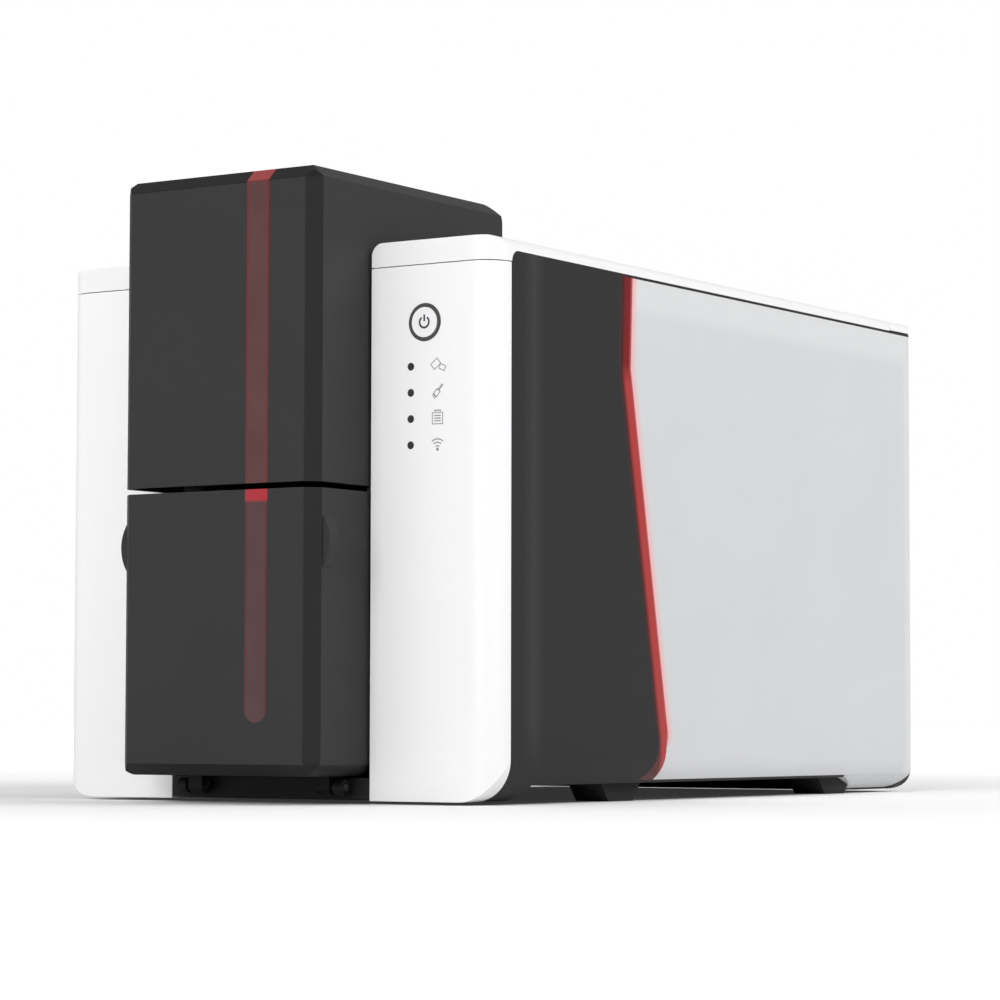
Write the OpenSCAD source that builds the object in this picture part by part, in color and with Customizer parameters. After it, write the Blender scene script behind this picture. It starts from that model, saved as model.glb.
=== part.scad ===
/* Desktop ID card printer.
   X runs across (right is +X seen from the front), Y runs from the front to the back,
   Z up. The origin is on the table, under the middle of the printer's outline.
   Places along Y are written as distances behind the front of the card tower, and
   place() moves each finished piece to the middle. */

/* [Overall] */
// Width over the side shells
overall_width = 207; // [180:1:240]
// Depth from the front of the card tower to the back
overall_depth = 387.5; // [380:0.5:440]
// Height of the ridge above the table
overall_height = 239; // [232:1:260]

/* [Card tower] */
// Width of the card tower and of the ridge that it runs back into
tower_width = 93; // [88:1:110]
// How far the tower stands out in front of the white front
tower_reach = 35.2; // [32:0.2:45]
// Distance from the tower's front to the back of the ridge
ridge_back = 127.4; // [122:0.2:130]
// Height of the lower edge of the feeder cover
cover_bottom = 120.2; // [118:0.2:122]
// Open gap between feeder cover and hopper door
tower_gap = 2.3; // [1.5:0.1:3]
// Height of the hopper door's underside
door_bottom = 10.6; // [10:0.2:13]
// Chamfer on the tower's upright front edges
tower_chamfer = 5; // [3:0.5:7]
// Chamfer round the tower's top and bottom
rim_chamfer = 4.4; // [3:0.2:5]
// Radius of the tower's lower corners, seen from the front
tower_corner = 6; // [5:0.5:8]
// Radius of the ridge's rear top edge, which is centred on the cover's hinge
ridge_round = 8; // [6:0.5:9]
// Wall of the feeder cover and the hopper door
tower_wall = 2.5; // [2:0.1:3]
// Width of the red sight window
window_width = 10.4; // [8:0.2:14]
// Middle of the sight window to the right of the tower's middle
window_x = 19.6; // [0:0.2:24]
// Height of the window's round lower end
window_tip = 30.5; // [26:0.5:50]
// Thickness of the sight window
window_thick = 1.2; // [0.8:0.1:1.5]

/* [Casing] */
// Height of the top cover
casing_top = 212.4; // [210:0.2:214]
// Height of the side shells' upper edge
side_top = 207.4; // [205:0.2:208]
// Height of the lower edge of the top cover's front lip
lip_bottom = 203.2; // [200:0.2:204]
// Gap between the casing's lowest rim and the table
casing_bottom = 1.2; // [0.8:0.1:2]
// Height of the raised underside between the feet
belly_height = 7.2; // [6:0.2:8]
// Radius of the casing's upright corners
corner_round = 11; // [8:0.5:14]
// Radius along the casing's lower long edges
bottom_round = 16; // [12:0.5:20]
// Wall of the casing
casing_wall = 2.5; // [2:0.1:3]
// Gap at each parting line of the casing
seam = 0.4; // [0.3:0.05:0.6]
// Distance from the tower's front to the back edge of the white front
front_wrap = 46.6; // [46.4:0.2:50]
// Thickness of the grey inlay on each side shell
inlay_thick = 1.2; // [0.8:0.1:1.4]
// Width of the dark rim left round the inlay
inlay_rim = 1.1; // [0.8:0.1:2]
// Width of the red trim
trim_width = 6.2; // [4:0.2:9]

/* [Feet] */
// Height of the rubber feet, which reach the table
foot_length = 18; // [14:1:24]
// Distance from the tower's front to the front pair of feet
foot_front = 137.5; // [120:0.5:150]
// Distance from the tower's front to the rear pair of feet
foot_rear = 319; // [300:0.5:320]

/* [Power button] */
// Diameter of the button
button_diameter = 11.4; // [9:0.2:13]
// Width of the light ring round the button
ring_width = 1.5; // [1:0.1:2]
// Button's middle to the right of the printer's middle
button_x = 71.8; // [66:0.2:80]
// Height of the button
button_z = 181; // [170:0.5:190]
// Travel of the button
button_travel = 0.8; // [0.5:0.1:1]
// Height of the top status light
light_top = 164.5; // [150:0.5:168]
// Distance from one status light to the next
light_pitch = 9.9; // [7:0.1:11]
// Diameter of a status light
light_diameter = 3; // [2:0.1:4]

/* [Card path] */
// Length of a card
card_length = 85.6; // [80:0.1:90]
// Width of a card
card_width = 54; // [50:0.1:56]
// Height of a pile that the feeder takes
pile_height = 74; // [50:1:76]
// Height of the cards' underside on their way through the printer
card_level = 125; // [124.5:0.1:126]
// Diameter of the driven rollers
roller_diameter = 18; // [16:0.2:20]
// Diameter of the pinch rollers above the card
pinch_diameter = 12; // [10:0.2:12]
// Diameter of the cleaning roller
cleaner_diameter = 14; // [12:0.2:14]
// Diameter of the roller shafts
shaft_diameter = 6; // [5:0.1:7]
// Radial clearance of a shaft in its bush
running_gap = 0.05; // [0.03:0.01:0.08]

/* [Works] */
// Distance between the outer faces of the two steel frames
frame_span = 80; // [76:1:84]
// Thickness of the steel frames
frame_thick = 1.5; // [1:0.1:2]
// Module of the drive gears
gear_module = 1.25; // [1:0.05:1.25]
// Teeth on the platen's gear
platen_teeth = 40; // [36:2:42]
// Teeth on the motor's pinion
pinion_teeth = 12; // [12:1:14]
// Radius of the belt pulleys
pulley_radius = 8; // [6:0.5:8.5]
// Thickness of the drive belt
belt_thick = 1.4; // [1:0.1:2]
// Radius of the full ribbon roll
supply_radius = 18; // [14:0.5:19]
// Radius of the used ribbon roll
take_up_radius = 13; // [11:0.5:14]

/* [Hidden] */
$fn = 64;
eps = 0.01;

half_w = overall_width / 2;
light_x = button_x - 6.3;                  // the lights stand a little left of the button
half_t = tower_width / 2;
front_y = tower_reach;                    // plane of the white front
back_y = overall_depth;                   // plane of the back
door_top = cover_bottom - tower_gap;
cheek_gap = 0.8;                          // between the tower's sides and the white front
slot_half = half_t + cheek_gap;
top_round = casing_top - side_top;        // the lid's long edges
side_split = half_w - corner_round - 2.5; // where side shells meet base and back
belly_front = 62;                         // front end of the raised underside
belly_rear = back_y - 41.5;               // rear end of the raised underside
ledge_rear = belly_rear - 16;             // rear end of the base's ledges

// Hinge of the top cover
lid_hinge_y = back_y - 15.5;
lid_hinge_z = casing_top - 4.2;
knuckle_radius = 3;
lid_edge = casing_top - lid_hinge_z;      // radius of the lid's rear edge, round its hinge
cap_front = lid_hinge_y + lid_edge + seam; // front edge of the fixed rear cap

// Hinge of the feeder cover, on the axis of the ridge's round rear edge
cover_hinge_y = ridge_back - ridge_round;
cover_hinge_z = overall_height - ridge_round;

// Hinge of the hopper door, under the tower
door_hinge_y = front_y - 4.2;
door_hinge_z = 6.3;
door_pin_radius = 1.5;

// Rollers: one line of shafts below the card
roller_radius = roller_diameter / 2;
shaft_z = card_level - roller_radius;
feed_y = 74;
front_roller_y = 150;
platen_y = 210;
rear_roller_y = 290;
shaft_places = [feed_y, front_roller_y, platen_y, rear_roller_y];
shaft_radius = shaft_diameter / 2;
bush_radius = shaft_radius + 2;            // outside of the bushes that carry the shafts
bush_gap = 0.3;                            // room left round a bush
pinch_radius = pinch_diameter / 2;
nip = 0.3;                                // a card's thickness less the rubber's give
pinch_z = card_level + nip + pinch_radius;
cleaner_radius = cleaner_diameter / 2;
cleaner_y = 125;
cleaner_z = card_level + nip + cleaner_radius;
roller_half = 24;                         // half the rubber's length
frame_out = frame_span / 2;
frame_in = frame_out - frame_thick;
frame_top = 166;

// Gears
gear_x = frame_out + 9.5;
gear_width = 5;
platen_pitch = gear_module * platen_teeth / 2;
pinion_pitch = gear_module * pinion_teeth / 2;
motor_z = shaft_z - platen_pitch - pinion_pitch;
motor_size = 42;
motor_length = 30;

// Ribbon
spool_z = 158;
take_up_y = 177;
supply_y = 250;
core_radius = 8;
spool_half = 30;
cassette_in = 32.5;
cassette_wall = 2.2;
spool_teeth = 18;
ribbon_pinion_teeth = 12;
spool_gear_x = -(cassette_in + cassette_wall + 0.6);
spool_gear_width = 2;
ribbon_pitch = 1.25 * (spool_teeth + ribbon_pinion_teeth) / 2;
ribbon_motor_z = spool_z - ribbon_pitch;
film_thick = 0.3;
film_z = card_level + 1.2;                // film's height under the print head

// Magazine
magazine_gap = 0.5;
magazine_wall = 2;
magazine_half = card_width / 2 + magazine_gap;
magazine_front = 19;
magazine_rear = magazine_front + card_length + 2 * magazine_gap;
magazine_top = card_level + pile_height;

module place() translate([0, -overall_depth / 2, 0]) children();

// Extrudes a drawing of X and Z from y0 to y1
module along_y(y0, y1) translate([0, y1, 0]) rotate([90, 0, 0]) linear_extrude(y1 - y0) children();
// Extrudes a drawing of Y and Z from x0 to x1
module along_x(x0, x1) translate([x0, 0, 0]) rotate([90, 0, 90]) linear_extrude(x1 - x0) children();
// Extrudes a drawing of X and Y from z0 to z1
module along_z(z0, z1) translate([0, 0, z0]) linear_extrude(z1 - z0) children();
// Cylinder along X, from x0 to x1
module rod(x0, x1, y, z, r) translate([x0, y, z]) rotate([0, 90, 0]) cylinder(h = x1 - x0, r = r);
// Cylinder along Y, from y0 to y1
module peg(y0, y1, x, z, r) translate([x, y1, z]) rotate([90, 0, 0]) cylinder(h = y1 - y0, r = r);
// Box from one corner to the other
module block(a, b) translate(a) cube(b - a);
// The same on both sides
module both() for (side = [-1, 1]) scale_x(side) children();
module scale_x(side) mirror([side < 0 ? 1 : 0, 0, 0]) children();

// Rectangle with true arcs: lower corners of radius r0, upper corners of radius r1
module soft_rect(x0, x1, z0, z1, r0, r1) {
    translate([x0, z0 + r0]) square([x1 - x0, z1 - z0 - r0 - r1]);
    translate([x0 + r0, z0]) square([x1 - x0 - 2 * r0, r0 + eps]);
    translate([x0 + r1, z1 - r1 - eps]) square([x1 - x0 - 2 * r1, r1 + eps]);
    for (x = [x0 + r0, x1 - r0]) translate([x, z0 + r0]) circle(r0);
    for (x = [x0 + r1, x1 - r1]) translate([x, z1 - r1]) circle(r1);
}

// Rectangle with chamfered corners: c0 at the low y, c1 at the high y
module cut_rect(x0, x1, y0, y1, c0, c1) polygon([
    [x0 + c0, y0], [x1 - c0, y0], [x1, y0 + c0], [x1, y1 - c1],
    [x1 - c1, y1], [x0 + c1, y1], [x0, y1 - c1], [x0, y0 + c0]
]);

// Chamfer that keeps an even wall at a distance of t inside a chamfer of c
function inner_cut(c, t) = max(0.2, c - t * (2 - sqrt(2)));

// ---------- casing ----------

// The casing's whole outer form, t inside its surface
module casing_form(t) intersection() {
    along_y(front_y + t, back_y - t)
        soft_rect(-half_w + t, half_w - t, casing_bottom + t, casing_top - t,
                  bottom_round - t, top_round - t);
    along_z(0, casing_top)
        soft_rect(-half_w + t, half_w - t, front_y + t, back_y - t,
                  corner_round - t, corner_round - t);
}

// The hollow under the printer, between its front and rear rims
module belly(t) along_x(-half_w, half_w) polygon([
    [belly_front - t, -1], [belly_front + 4 - t, belly_height + t],
    [belly_rear - 24 + t, belly_height + t], [belly_rear + t, -1]
]);

module casing_shell() difference() {
    casing_form(0);
    difference() {
        casing_form(casing_wall);
        belly(casing_wall);
    }
    belly(0);
}

// Side view of everything above the parting line; d moves the line down
module above_parting(d) {
    lip = lip_bottom - d;
    step = side_top - lip_bottom;
    polygon([[front_y - 1, lip], [front_wrap, lip], [front_wrap, casing_top + 1],
             [front_y - 1, casing_top + 1]]);
    difference() {
        translate([front_wrap, lip]) square([step, casing_top + 1 - lip]);
        translate([front_wrap + step, lip]) circle(step);
    }
    translate([front_wrap + step, side_top - d])
        square([back_y - front_wrap - step + 1, casing_top + 1 - side_top + d]);
}

module white_front(side) color("white") place() {
    difference() {
        intersection() {
            casing_shell();
            scale_x(side) block([slot_half, front_y - 1, 0], [half_w + 1, front_wrap - seam, 220]);
        }
        along_x(-half_w, half_w) above_parting(seam);
    }
    scale_x(side) block([slot_half, front_y + casing_wall - eps, casing_bottom + casing_wall],
                        [slot_half + 2, front_wrap + 8, lip_bottom - 4]);
}

module front_panel_left() white_front(-1);

module front_panel_right() difference() {
    white_front(1);
    color("white") place() {
        peg(front_y - 1, front_wrap, button_x, button_z, button_diameter / 2 + ring_width + 0.05);
        for (i = [0:3])
            peg(front_y - 1, front_wrap, light_x, light_top - i * light_pitch,
                light_diameter / 2);
    }
}

// Line between the dark part and the trim: [height, distance behind the front]
trim_line = [[side_top + 1, 126.9], [170, 125.4], [24, 154.6]];
trim_curl = trim_line[2][0] - belly_height - inlay_rim + 0.3; // round that ends at the inlay's foot

// Side view of the dark part in front of the trim, grown by g
module dark_part(g) {
    top = trim_line[0];
    kink = trim_line[1];
    low = trim_line[2];
    polygon([[0, low[0]], [low[1] + g, low[0]], [kink[1] + g, kink[0]],
             [top[1] + g, top[0]], [0, top[0]]]);
    translate([0, low[0] - trim_curl - g]) square([low[1] - trim_curl, trim_curl + g + eps]);
    translate([low[1] - trim_curl, low[0]]) circle(trim_curl + g);
}

// Side view of the grey inlay: behind the trim, inside the dark rim
module inlay_view(g) difference() {
    soft_rect(100, back_y + 1, belly_height + inlay_rim - g, side_top - inlay_rim + g, 0.1, 0.1);
    dark_part(trim_width - g);
    inlay_corner(back_y, belly_height, bottom_round - 6, -1, g);
    inlay_corner(back_y, side_top - inlay_rim, top_round + 1, 1, g);
}

// Rounds the inlay's rear corner at height z; up is 1 for the upper corner
module inlay_corner(y, z, r, up, g) difference() {
    translate([y - r + g, up > 0 ? z - r + g : z - 5]) square([r + 2, r + 5]);
    translate([y - r + g, z - up * r + g * up]) circle(r);
}

module side_shell(side) color("dimgray") place() difference() {
    intersection() {
        casing_shell();
        scale_x(side) block([side_split, front_wrap, 0], [half_w + 1, back_y + 1, casing_top + 1]);
    }
    along_x(-half_w, half_w) above_parting(0);
    difference() {
        scale_x(side) along_x(side_split, half_w + 1) union() {
            inlay_view(0.05);
            trim_view(0.05);
        }
        casing_form(inlay_thick);
    }
}

module trim_view(g) difference() {
    intersection() {
        dark_part(trim_width - 0.1 + g);
        translate([100, belly_height + inlay_rim - g])
            square([100, side_top - belly_height - 2 * inlay_rim + 2 * g]);
    }
    dark_part(-g);
}

module side_shell_left() side_shell(-1);
module side_shell_right() side_shell(1);

// A skin of the casing's own outer form, as thick as the inlay
module side_skin(side) intersection() {
    difference() {
        casing_form(0);
        casing_form(inlay_thick);
        belly(0);
    }
    scale_x(side) along_x(side_split + 0.1, half_w + 1) children();
}

module side_trim_left() color("firebrick") place() side_skin(-1) trim_view(0);
module side_trim_right() color("firebrick") place() side_skin(1) trim_view(0);
module side_inlay_left() color("gainsboro") place() side_skin(-1) inlay_view(0);
module side_inlay_right() color("gainsboro") place() side_skin(1) inlay_view(0);

// ---------- base and back ----------

foot_x = half_w - 12; // middle of a foot's peg
foot_top = [15, 30];
foot_tip = [10, 18];

module base_tray() color("#303030") place() difference() {
    union() {
        intersection() {
            casing_shell();
            block([-side_split + seam, front_wrap, 0], [side_split - seam, back_y + 1, 12]);
        }
        // nose between the white fronts
        difference() {
            block([-slot_half + 0.3, front_y, casing_bottom + 0.6],
                [slot_half - 0.3, 66, belly_height + casing_wall]);
            block([-slot_half + 3, front_y + 3, 0], [slot_half - 3, 61, belly_height]);
        }
        // hinge brackets beside the door's lugs
        both() difference() {
            union() {
                block([35, door_hinge_y, door_hinge_z - 3], [39, front_y + eps, door_hinge_z + 2.6]);
                rod(35, 39, door_hinge_y, door_hinge_z, 3);
            }
            rod(34, 40, door_hinge_y, door_hinge_z, door_pin_radius + running_gap);
        }
        // ledges that lie on the side shells' lower edges
        both() {
            block([side_split - 5, belly_front + 2, frame_low],
                [half_w - 6.5, ledge_rear, frame_low + 2]);
            block([side_split - 5, belly_front + 2, frame_low - 1],
                  [side_split - seam, ledge_rear, frame_low + 1]);
        }
        // ribs that the frames stand between
        both() for (y = [70, 180, 300]) block([frame_out + 0.1, y, belly_height + casing_wall - eps],
                                              [frame_out + 3, y + 14, belly_height + casing_wall + 8]);
        // board posts
        for (x = [-76, 76], y = [board_front + 9, board_front + 37])
            translate([x, y, casing_bottom + casing_wall - eps])
                cylinder(h = board_z - casing_bottom - casing_wall, r = 3);
    }
    both() for (y = [foot_front, foot_rear])
        translate([foot_x - 6, y, 0]) cylinder(h = 20, r = 2);
}

// Main board on the floor behind the belly
board_z = 14;
board_front = back_y - 52.5;
board_back = back_y - 6.5;
board_thick = 1.6;

// A tapered rubber foot, wide at the top
module foot() {
    taper = (foot_top[1] - foot_length) / 2;
    along_x(-foot_top[0] / 2, foot_top[0] / 2) polygon([
        [-foot_length / 2, 0], [foot_length / 2, 0],
        [foot_length / 2 + taper, belly_height], [-foot_length / 2 - taper, belly_height]
    ]);
    translate([-3, 0, belly_height - eps]) cylinder(h = 4, r = 1.95);
}

module rubber_feet() color("#151515") place() both() for (y = [foot_front, foot_rear])
    intersection() {
        translate([foot_x - 3, y, 0]) foot();
        union() {
            belly(0);
            block([foot_x - 11.5, foot_front - 5, belly_height], [foot_x + 8.5, foot_rear + 5, 20]);
        }
    }

panel_top = lid_hinge_z - 1.5;

module rear_panel() color("#2b2b2b") place() difference() {
    union() {
        intersection() {
            casing_shell();
            block([-side_split + seam, back_y - casing_wall - eps, 12 + seam],
                [side_split - seam, back_y + 1, side_top]);
        }
        // collar round the sockets
        block([-62, back_y - casing_wall - 4, 19], [34, back_y - 1, 36]);
        // tabs that reach down behind the base's rear wall
        for (x = [-84, 70]) {
            block([x, back_y - casing_wall - 2, 6], [x + 14, back_y - casing_wall, 34]);
            block([x, back_y - casing_wall - 1, 12 + seam], [x + 14, back_y - casing_wall + 1, 34]);
        }
    }
    for (s = socket_list) socket_hole(s, 0.3);
    // air slots
    for (i = [0:8]) translate([40 + i * 5, 0, 0])
        along_y(back_y - 10, back_y + 1) soft_rect(-1.2, 1.2, 90, 130, 1.1, 1.1);
    // fan grille: rings of slots
    difference() {
        for (r = [6, 11, 16]) difference() {
            peg(back_y - 10, back_y + 1, fan_x, fan_z, r + 1.7);
            peg(back_y - 11, back_y + 2, fan_x, fan_z, r - 1.7);
        }
        for (a = [0, 45, 90, 135])
            translate([fan_x, back_y, fan_z]) rotate([0, a, 0]) cube([60, 30, 2.4], center = true);
    }
    // lock slot
    block([78, back_y - 8, 24], [85, back_y + 1, 27]);
}

fan_x = -50;
fan_z = 110;
fan_size = 50;
fan_deep = 10;

// Sockets on the back: [middle of X, width, height, bottom]
board_top = board_z + board_thick;
socket_list = [[-50, 12.2, 11, board_top], [-26, 16, 13.5, board_top], [14, 15.4, 9, board_top]];

module socket_hole(s, gap) block([s[0] - s[1] / 2 - gap, back_y - 20, s[3] - gap],
                                 [s[0] + s[1] / 2 + gap, back_y + 1, s[3] + s[2] + gap]);

module rear_sockets() color("silver") place() for (s = socket_list) difference() {
    block([s[0] - s[1] / 2, back_y - 18, s[3]], [s[0] + s[1] / 2, back_y - 0.8, s[3] + s[2]]);
    block([s[0] - s[1] / 2 + 1, back_y - 10, s[3] + 1], [s[0] + s[1] / 2 - 1, back_y, s[3] + s[2] - 1]);
}

// Room beside the hinge, round at the front on the hinge's own axis
cheek_radius = 12;
module cheek(x, r, z0) {
    intersection() {
        rod(x, half_w + 1, lid_hinge_y, lid_hinge_z, r);
        block([x - 1, 0, z0], [half_w + 2, back_y + 2, casing_top + 2]);
    }
    block([x, lid_hinge_y, z0], [half_w + 1, back_y + 2, casing_top + 2]);
}

// The fixed strip behind the lid, with its own half of the hinge
module rear_cap() color("white") place() {
    intersection() {
        casing_shell();
        union() {
            block([-half_w - 1, cap_front, side_top + seam], [half_w + 1, back_y + 1, casing_top + 1]);
            both() cheek(half_w - top_round + 0.3, cheek_radius - seam, side_top + seam);
        }
    }
    // tabs that lie against the inside of the back
    for (x = [-34, 0, 34])
        block([x - 6, back_y - casing_wall - 2, side_top - 14],
            [x + 6, back_y - casing_wall, casing_top - 1]);
    both() for (x = hinge_places) difference() {
        union() {
            rod(x + 6.2, x + 12, lid_hinge_y, lid_hinge_z, knuckle_radius);
            rod(x - 6, x - 0.2, lid_hinge_y, lid_hinge_z, knuckle_radius);
            block([x + 6.2, lid_hinge_y, lid_hinge_z - knuckle_radius],
                [x + 12, back_y - casing_wall, lid_hinge_z - 0.5]);
            block([x - 6, lid_hinge_y, lid_hinge_z - knuckle_radius],
                [x - 0.2, back_y - casing_wall, lid_hinge_z - 0.5]);
            block([x + 6.2, cap_front, lid_hinge_z - 1],
                [x + 12, back_y - casing_wall, casing_top - casing_wall + eps]);
            block([x - 6, cap_front, lid_hinge_z - 1],
                [x - 0.2, back_y - casing_wall, casing_top - casing_wall + eps]);
        }
        rod(x - 7, x + 13, lid_hinge_y, lid_hinge_z, 1.2 + running_gap);
    }
}

hinge_places = [60];

// ---------- top cover ----------

catch_x = 50;
catch_y = 148;

module lid() color("white") place() {
    difference() {
        intersection() {
            casing_shell();
            difference() {
                along_x(-half_w - 1, half_w + 1) above_parting(0);
                difference() {
                    block([-half_w - 1, lid_hinge_y, 0], [half_w + 1, back_y + 2, casing_top + 2]);
                    rod(-half_w - 2, half_w + 2, lid_hinge_y, lid_hinge_z, lid_edge);
                }
                both() cheek(half_w - top_round - 0.2, cheek_radius, side_top - 1);
                block([-slot_half, front_y - 1, 0], [slot_half, ridge_back + cheek_gap, casing_top + 2]);
            }
        }
        // round the edges beside the ridge
        both() difference() {
            block([slot_half - 1, front_y - 1, casing_top - top_round],
                [slot_half + top_round, ridge_back + cheek_gap, casing_top + 1]);
            peg(front_y - 2, ridge_back + 2, slot_half + top_round, casing_top - top_round, top_round);
        }
        // room for the fixed knuckles
        both() for (x = hinge_places) {
            block([x + 5.9, lid_hinge_y - 4.4, 0], [x + 12.3, back_y, casing_top + 1]);
            block([x - 6.3, lid_hinge_y - 4.4, 0], [x + 0.1, back_y, casing_top + 1]);
        }
    }
    // walls round the ridge's slot
    difference() {
        block([-slot_half - 2, front_y + 0.5, lip_bottom],
            [slot_half + 2, ridge_back + cheek_gap + 2, casing_top - top_round + 0.3]);
        block([-slot_half, 0, 0], [slot_half, ridge_back + cheek_gap, casing_top + 1]);
    }
    both() block([slot_half + eps, front_y + 0.5, casing_top - top_round],
        [slot_half + top_round, ridge_back, casing_top - top_round + 1.2]);
    block([-slot_half, ridge_back + cheek_gap, casing_top - top_round],
        [slot_half, ridge_back + cheek_gap + 2, casing_top - 1]);
    // stiffening ribs
    for (x = [-80, -34, 34, 80])
        block([x - 1, ridge_back + 12, casing_top - 6], [x + 1, lid_hinge_y - 12, casing_top - 1]);
    for (y = [176, 240, 310])
        block([-half_w + 7.5, y - 1, casing_top - 5.5], [half_w - 7.5, y + 1, casing_top - 1]);
    // knuckles
    both() for (x = hinge_places) difference() {
        union() {
            rod(x + 0.2, x + 5.8, lid_hinge_y, lid_hinge_z, knuckle_radius);
            block([x + 0.2, lid_hinge_y - 6, lid_hinge_z], [x + 5.8, lid_hinge_y + 3, casing_top - 1]);
        }
        rod(x - 1, x + 7, lid_hinge_y, lid_hinge_z, 1.2);
    }
    // catch noses over the clips on the frames
    both() {
        block([catch_x - 4, catch_y - 1.2, frame_top + 3], [catch_x + 4, catch_y + 1.2, casing_top - 1]);
        rod(catch_x - 4, catch_x + 4, catch_y, frame_top + 3, 2);
    }
}

module lid_hinge_pins() color("silver") place() both() for (x = hinge_places)
    rod(x - 6, x + 12, lid_hinge_y, lid_hinge_z, 1.2);

module catch_clips() color("silver") place() both() {
    difference() {
        block([catch_x - 5, catch_y - 4, frame_top - 8], [catch_x + 5, catch_y + 4, frame_top + 4]);
        block([catch_x - 6, catch_y - 2.4, frame_top - 1], [catch_x + 6, catch_y + 2.4, frame_top + 5]);
    }
    block([frame_out, catch_y - 4, frame_top - 8], [catch_x - 5 + eps, catch_y + 4, frame_top - 6]);
}

// ---------- card tower ----------

// Front view of the tower, t inside its outline: round corners below, chamfers above
module tower_view(t) {
    side = half_t - t;
    low = door_bottom + t;
    top = overall_height - t;
    round = max(0.2, tower_corner - t);
    cut = inner_cut(rim_chamfer, t);
    polygon([[-side, low + round], [side, low + round], [side, top - cut], [side - cut, top],
             [-side + cut, top], [-side, top - cut]]);
    translate([round - side, low]) square([2 * side - 2 * round, round + eps]);
    both() translate([side - round, low + round]) circle(round);
}

// The tower's outer form up to its top, t inside its surface and y1 deep
module tower_form(t, y1) {
    c = inner_cut(tower_chamfer, t);
    k = inner_cut(rim_chamfer, t);
    top = overall_height - t;
    intersection() {
        along_z(0, top) polygon([
            [-half_t + t + c, t], [half_t - t - c, t], [half_t - t, t + c], [half_t - t, y1],
            [-half_t + t, y1], [-half_t + t, t + c]
        ]);
        along_y(0, y1) tower_view(t);
        along_x(-half_t, half_t) union() {
            polygon([
                [t + k, door_bottom + t], [y1, door_bottom + t], [y1, cover_hinge_z],
                [cover_hinge_y, top], [t + k, top], [t, top - k], [t, door_bottom + t + k]
            ]);
            translate([cover_hinge_y, cover_hinge_z]) circle(ridge_round - t);
        }
    }
}

// The strip in which the window lies, t wider than the window
module window_band(t) {
    r = window_width / 2 + t;
    block([window_x - r, -1, window_tip + r - t], [window_x + r, 9, overall_height + 1]);
    peg(-1, 9, window_x, window_tip + r - t, r);
}

module feeder_cover() color("#404040") place() {
    low_back = side_top - 1.4;
    difference() {
        tower_form(0, ridge_back);
        difference() {
            tower_form(tower_wall, ridge_back - tower_wall);
            // lugs of the hinge
            both() rod(half_t - 11, half_t, cover_hinge_y, cover_hinge_z, 4.4);
        }
        block([-half_t - 1, -1, 0], [half_t + 1, ridge_back + 1, cover_bottom]);
        block([-half_t - 1, front_y + 1.3, 0], [half_t + 1, ridge_back + 1, low_back]);
        difference() {
            window_band(0.05);
            tower_form(window_thick, ridge_back);
        }
        // sight slot behind the window
        block([window_x - 3.2, -1, cover_bottom + 4],
            [window_x + 3.2, tower_wall + 1, overall_height - 12]);
        rod(-half_t + 2, half_t - 2, cover_hinge_y, cover_hinge_z, 2);
    }
}

module feeder_window() color("#8c3b40") place() difference() {
    intersection() {
        tower_form(0, ridge_back);
        window_band(0);
    }
    tower_form(window_thick, ridge_back);
    block([-half_t - 1, -1, 0], [half_t + 1, ridge_back, cover_bottom]);
}

module cover_hinge_pin() color("silver") place()
    rod(-half_t + 2, half_t - 2, cover_hinge_y, cover_hinge_z, 2);

module hopper_door() color("#404040") place() {
    difference() {
        intersection() {
            tower_form(0, ridge_back);
            block([-half_t - 1, -1, 0], [half_t + 1, front_y + 1.3, door_top]);
        }
        intersection() {
            tower_form(tower_wall, ridge_back);
            block([-half_t, -1, 0], [half_t, front_y + 2, door_top - 2]);
        }
        block([-half_t + 8, 10, door_top - 4], [half_t - 8, front_y + 2, door_top + 1]);
        difference() {
            window_band(0.05);
            tower_form(window_thick, ridge_back);
        }
        block([window_x - 3.2, -1, window_tip + 5], [window_x + 3.2, tower_wall + 1, door_top - 5]);
    }
    // lugs that hang from the door's floor and carry its pin
    both() difference() {
        union() {
            rod(27, 33.6, door_hinge_y, door_hinge_z, 3);
            block([27, door_hinge_y - 3, door_hinge_z], [33.6, door_hinge_y + 3, door_bottom + 1]);
        }
        rod(26, 35, door_hinge_y, door_hinge_z, door_pin_radius);
    }
    door_grips();
}

module door_window() color("#7a3c40") place() difference() {
    intersection() {
        tower_form(0, ridge_back);
        window_band(0);
    }
    tower_form(window_thick, ridge_back);
    block([-half_t - 1, -1, door_top], [half_t + 1, ridge_back, overall_height + 1]);
}

grip_reach = 3.3;
grip_height = 19.5;
grip_z = 97.8;

// Finger grips on the door's sides, each a slice of a flat arch
module door_grips() both() {
    r = (pow(grip_height / 2, 2) + pow(grip_reach, 2)) / (2 * grip_reach);
    intersection() {
        peg(5.6, 11.4, half_t + grip_reach - r, grip_z, r);
        block([half_t - 1, 5, grip_z - grip_height], [half_t + 5, 12, grip_z + grip_height]);
    }
}

module door_hinge_pin() color("silver") place() both()
    rod(26.5, 39.5, door_hinge_y, door_hinge_z, door_pin_radius);

// ---------- controls ----------

module power_button() color("whitesmoke") place() {
    peg(front_y - 0.4, front_y + 2, button_x, button_z, button_diameter / 2);
    peg(front_y + 2 - eps, front_y + 5, button_x, button_z, button_diameter / 2 - 2);
}

module light_ring() color("#444444") place() difference() {
    peg(front_y - 0.2, front_y + casing_wall + 1, button_x, button_z, button_diameter / 2 + ring_width);
    peg(front_y - 1, front_y + casing_wall + 2, button_x, button_z, button_diameter / 2 + 0.15);
}

module status_lights() color("#222222") place() {
    for (i = [0:3])
        peg(front_y, front_y + casing_wall + 1, light_x, light_top - i * light_pitch, light_diameter / 2);
}

// ---------- frames ----------

frame_low = belly_height + casing_wall;
deck_z = card_level - 1.2;

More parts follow.
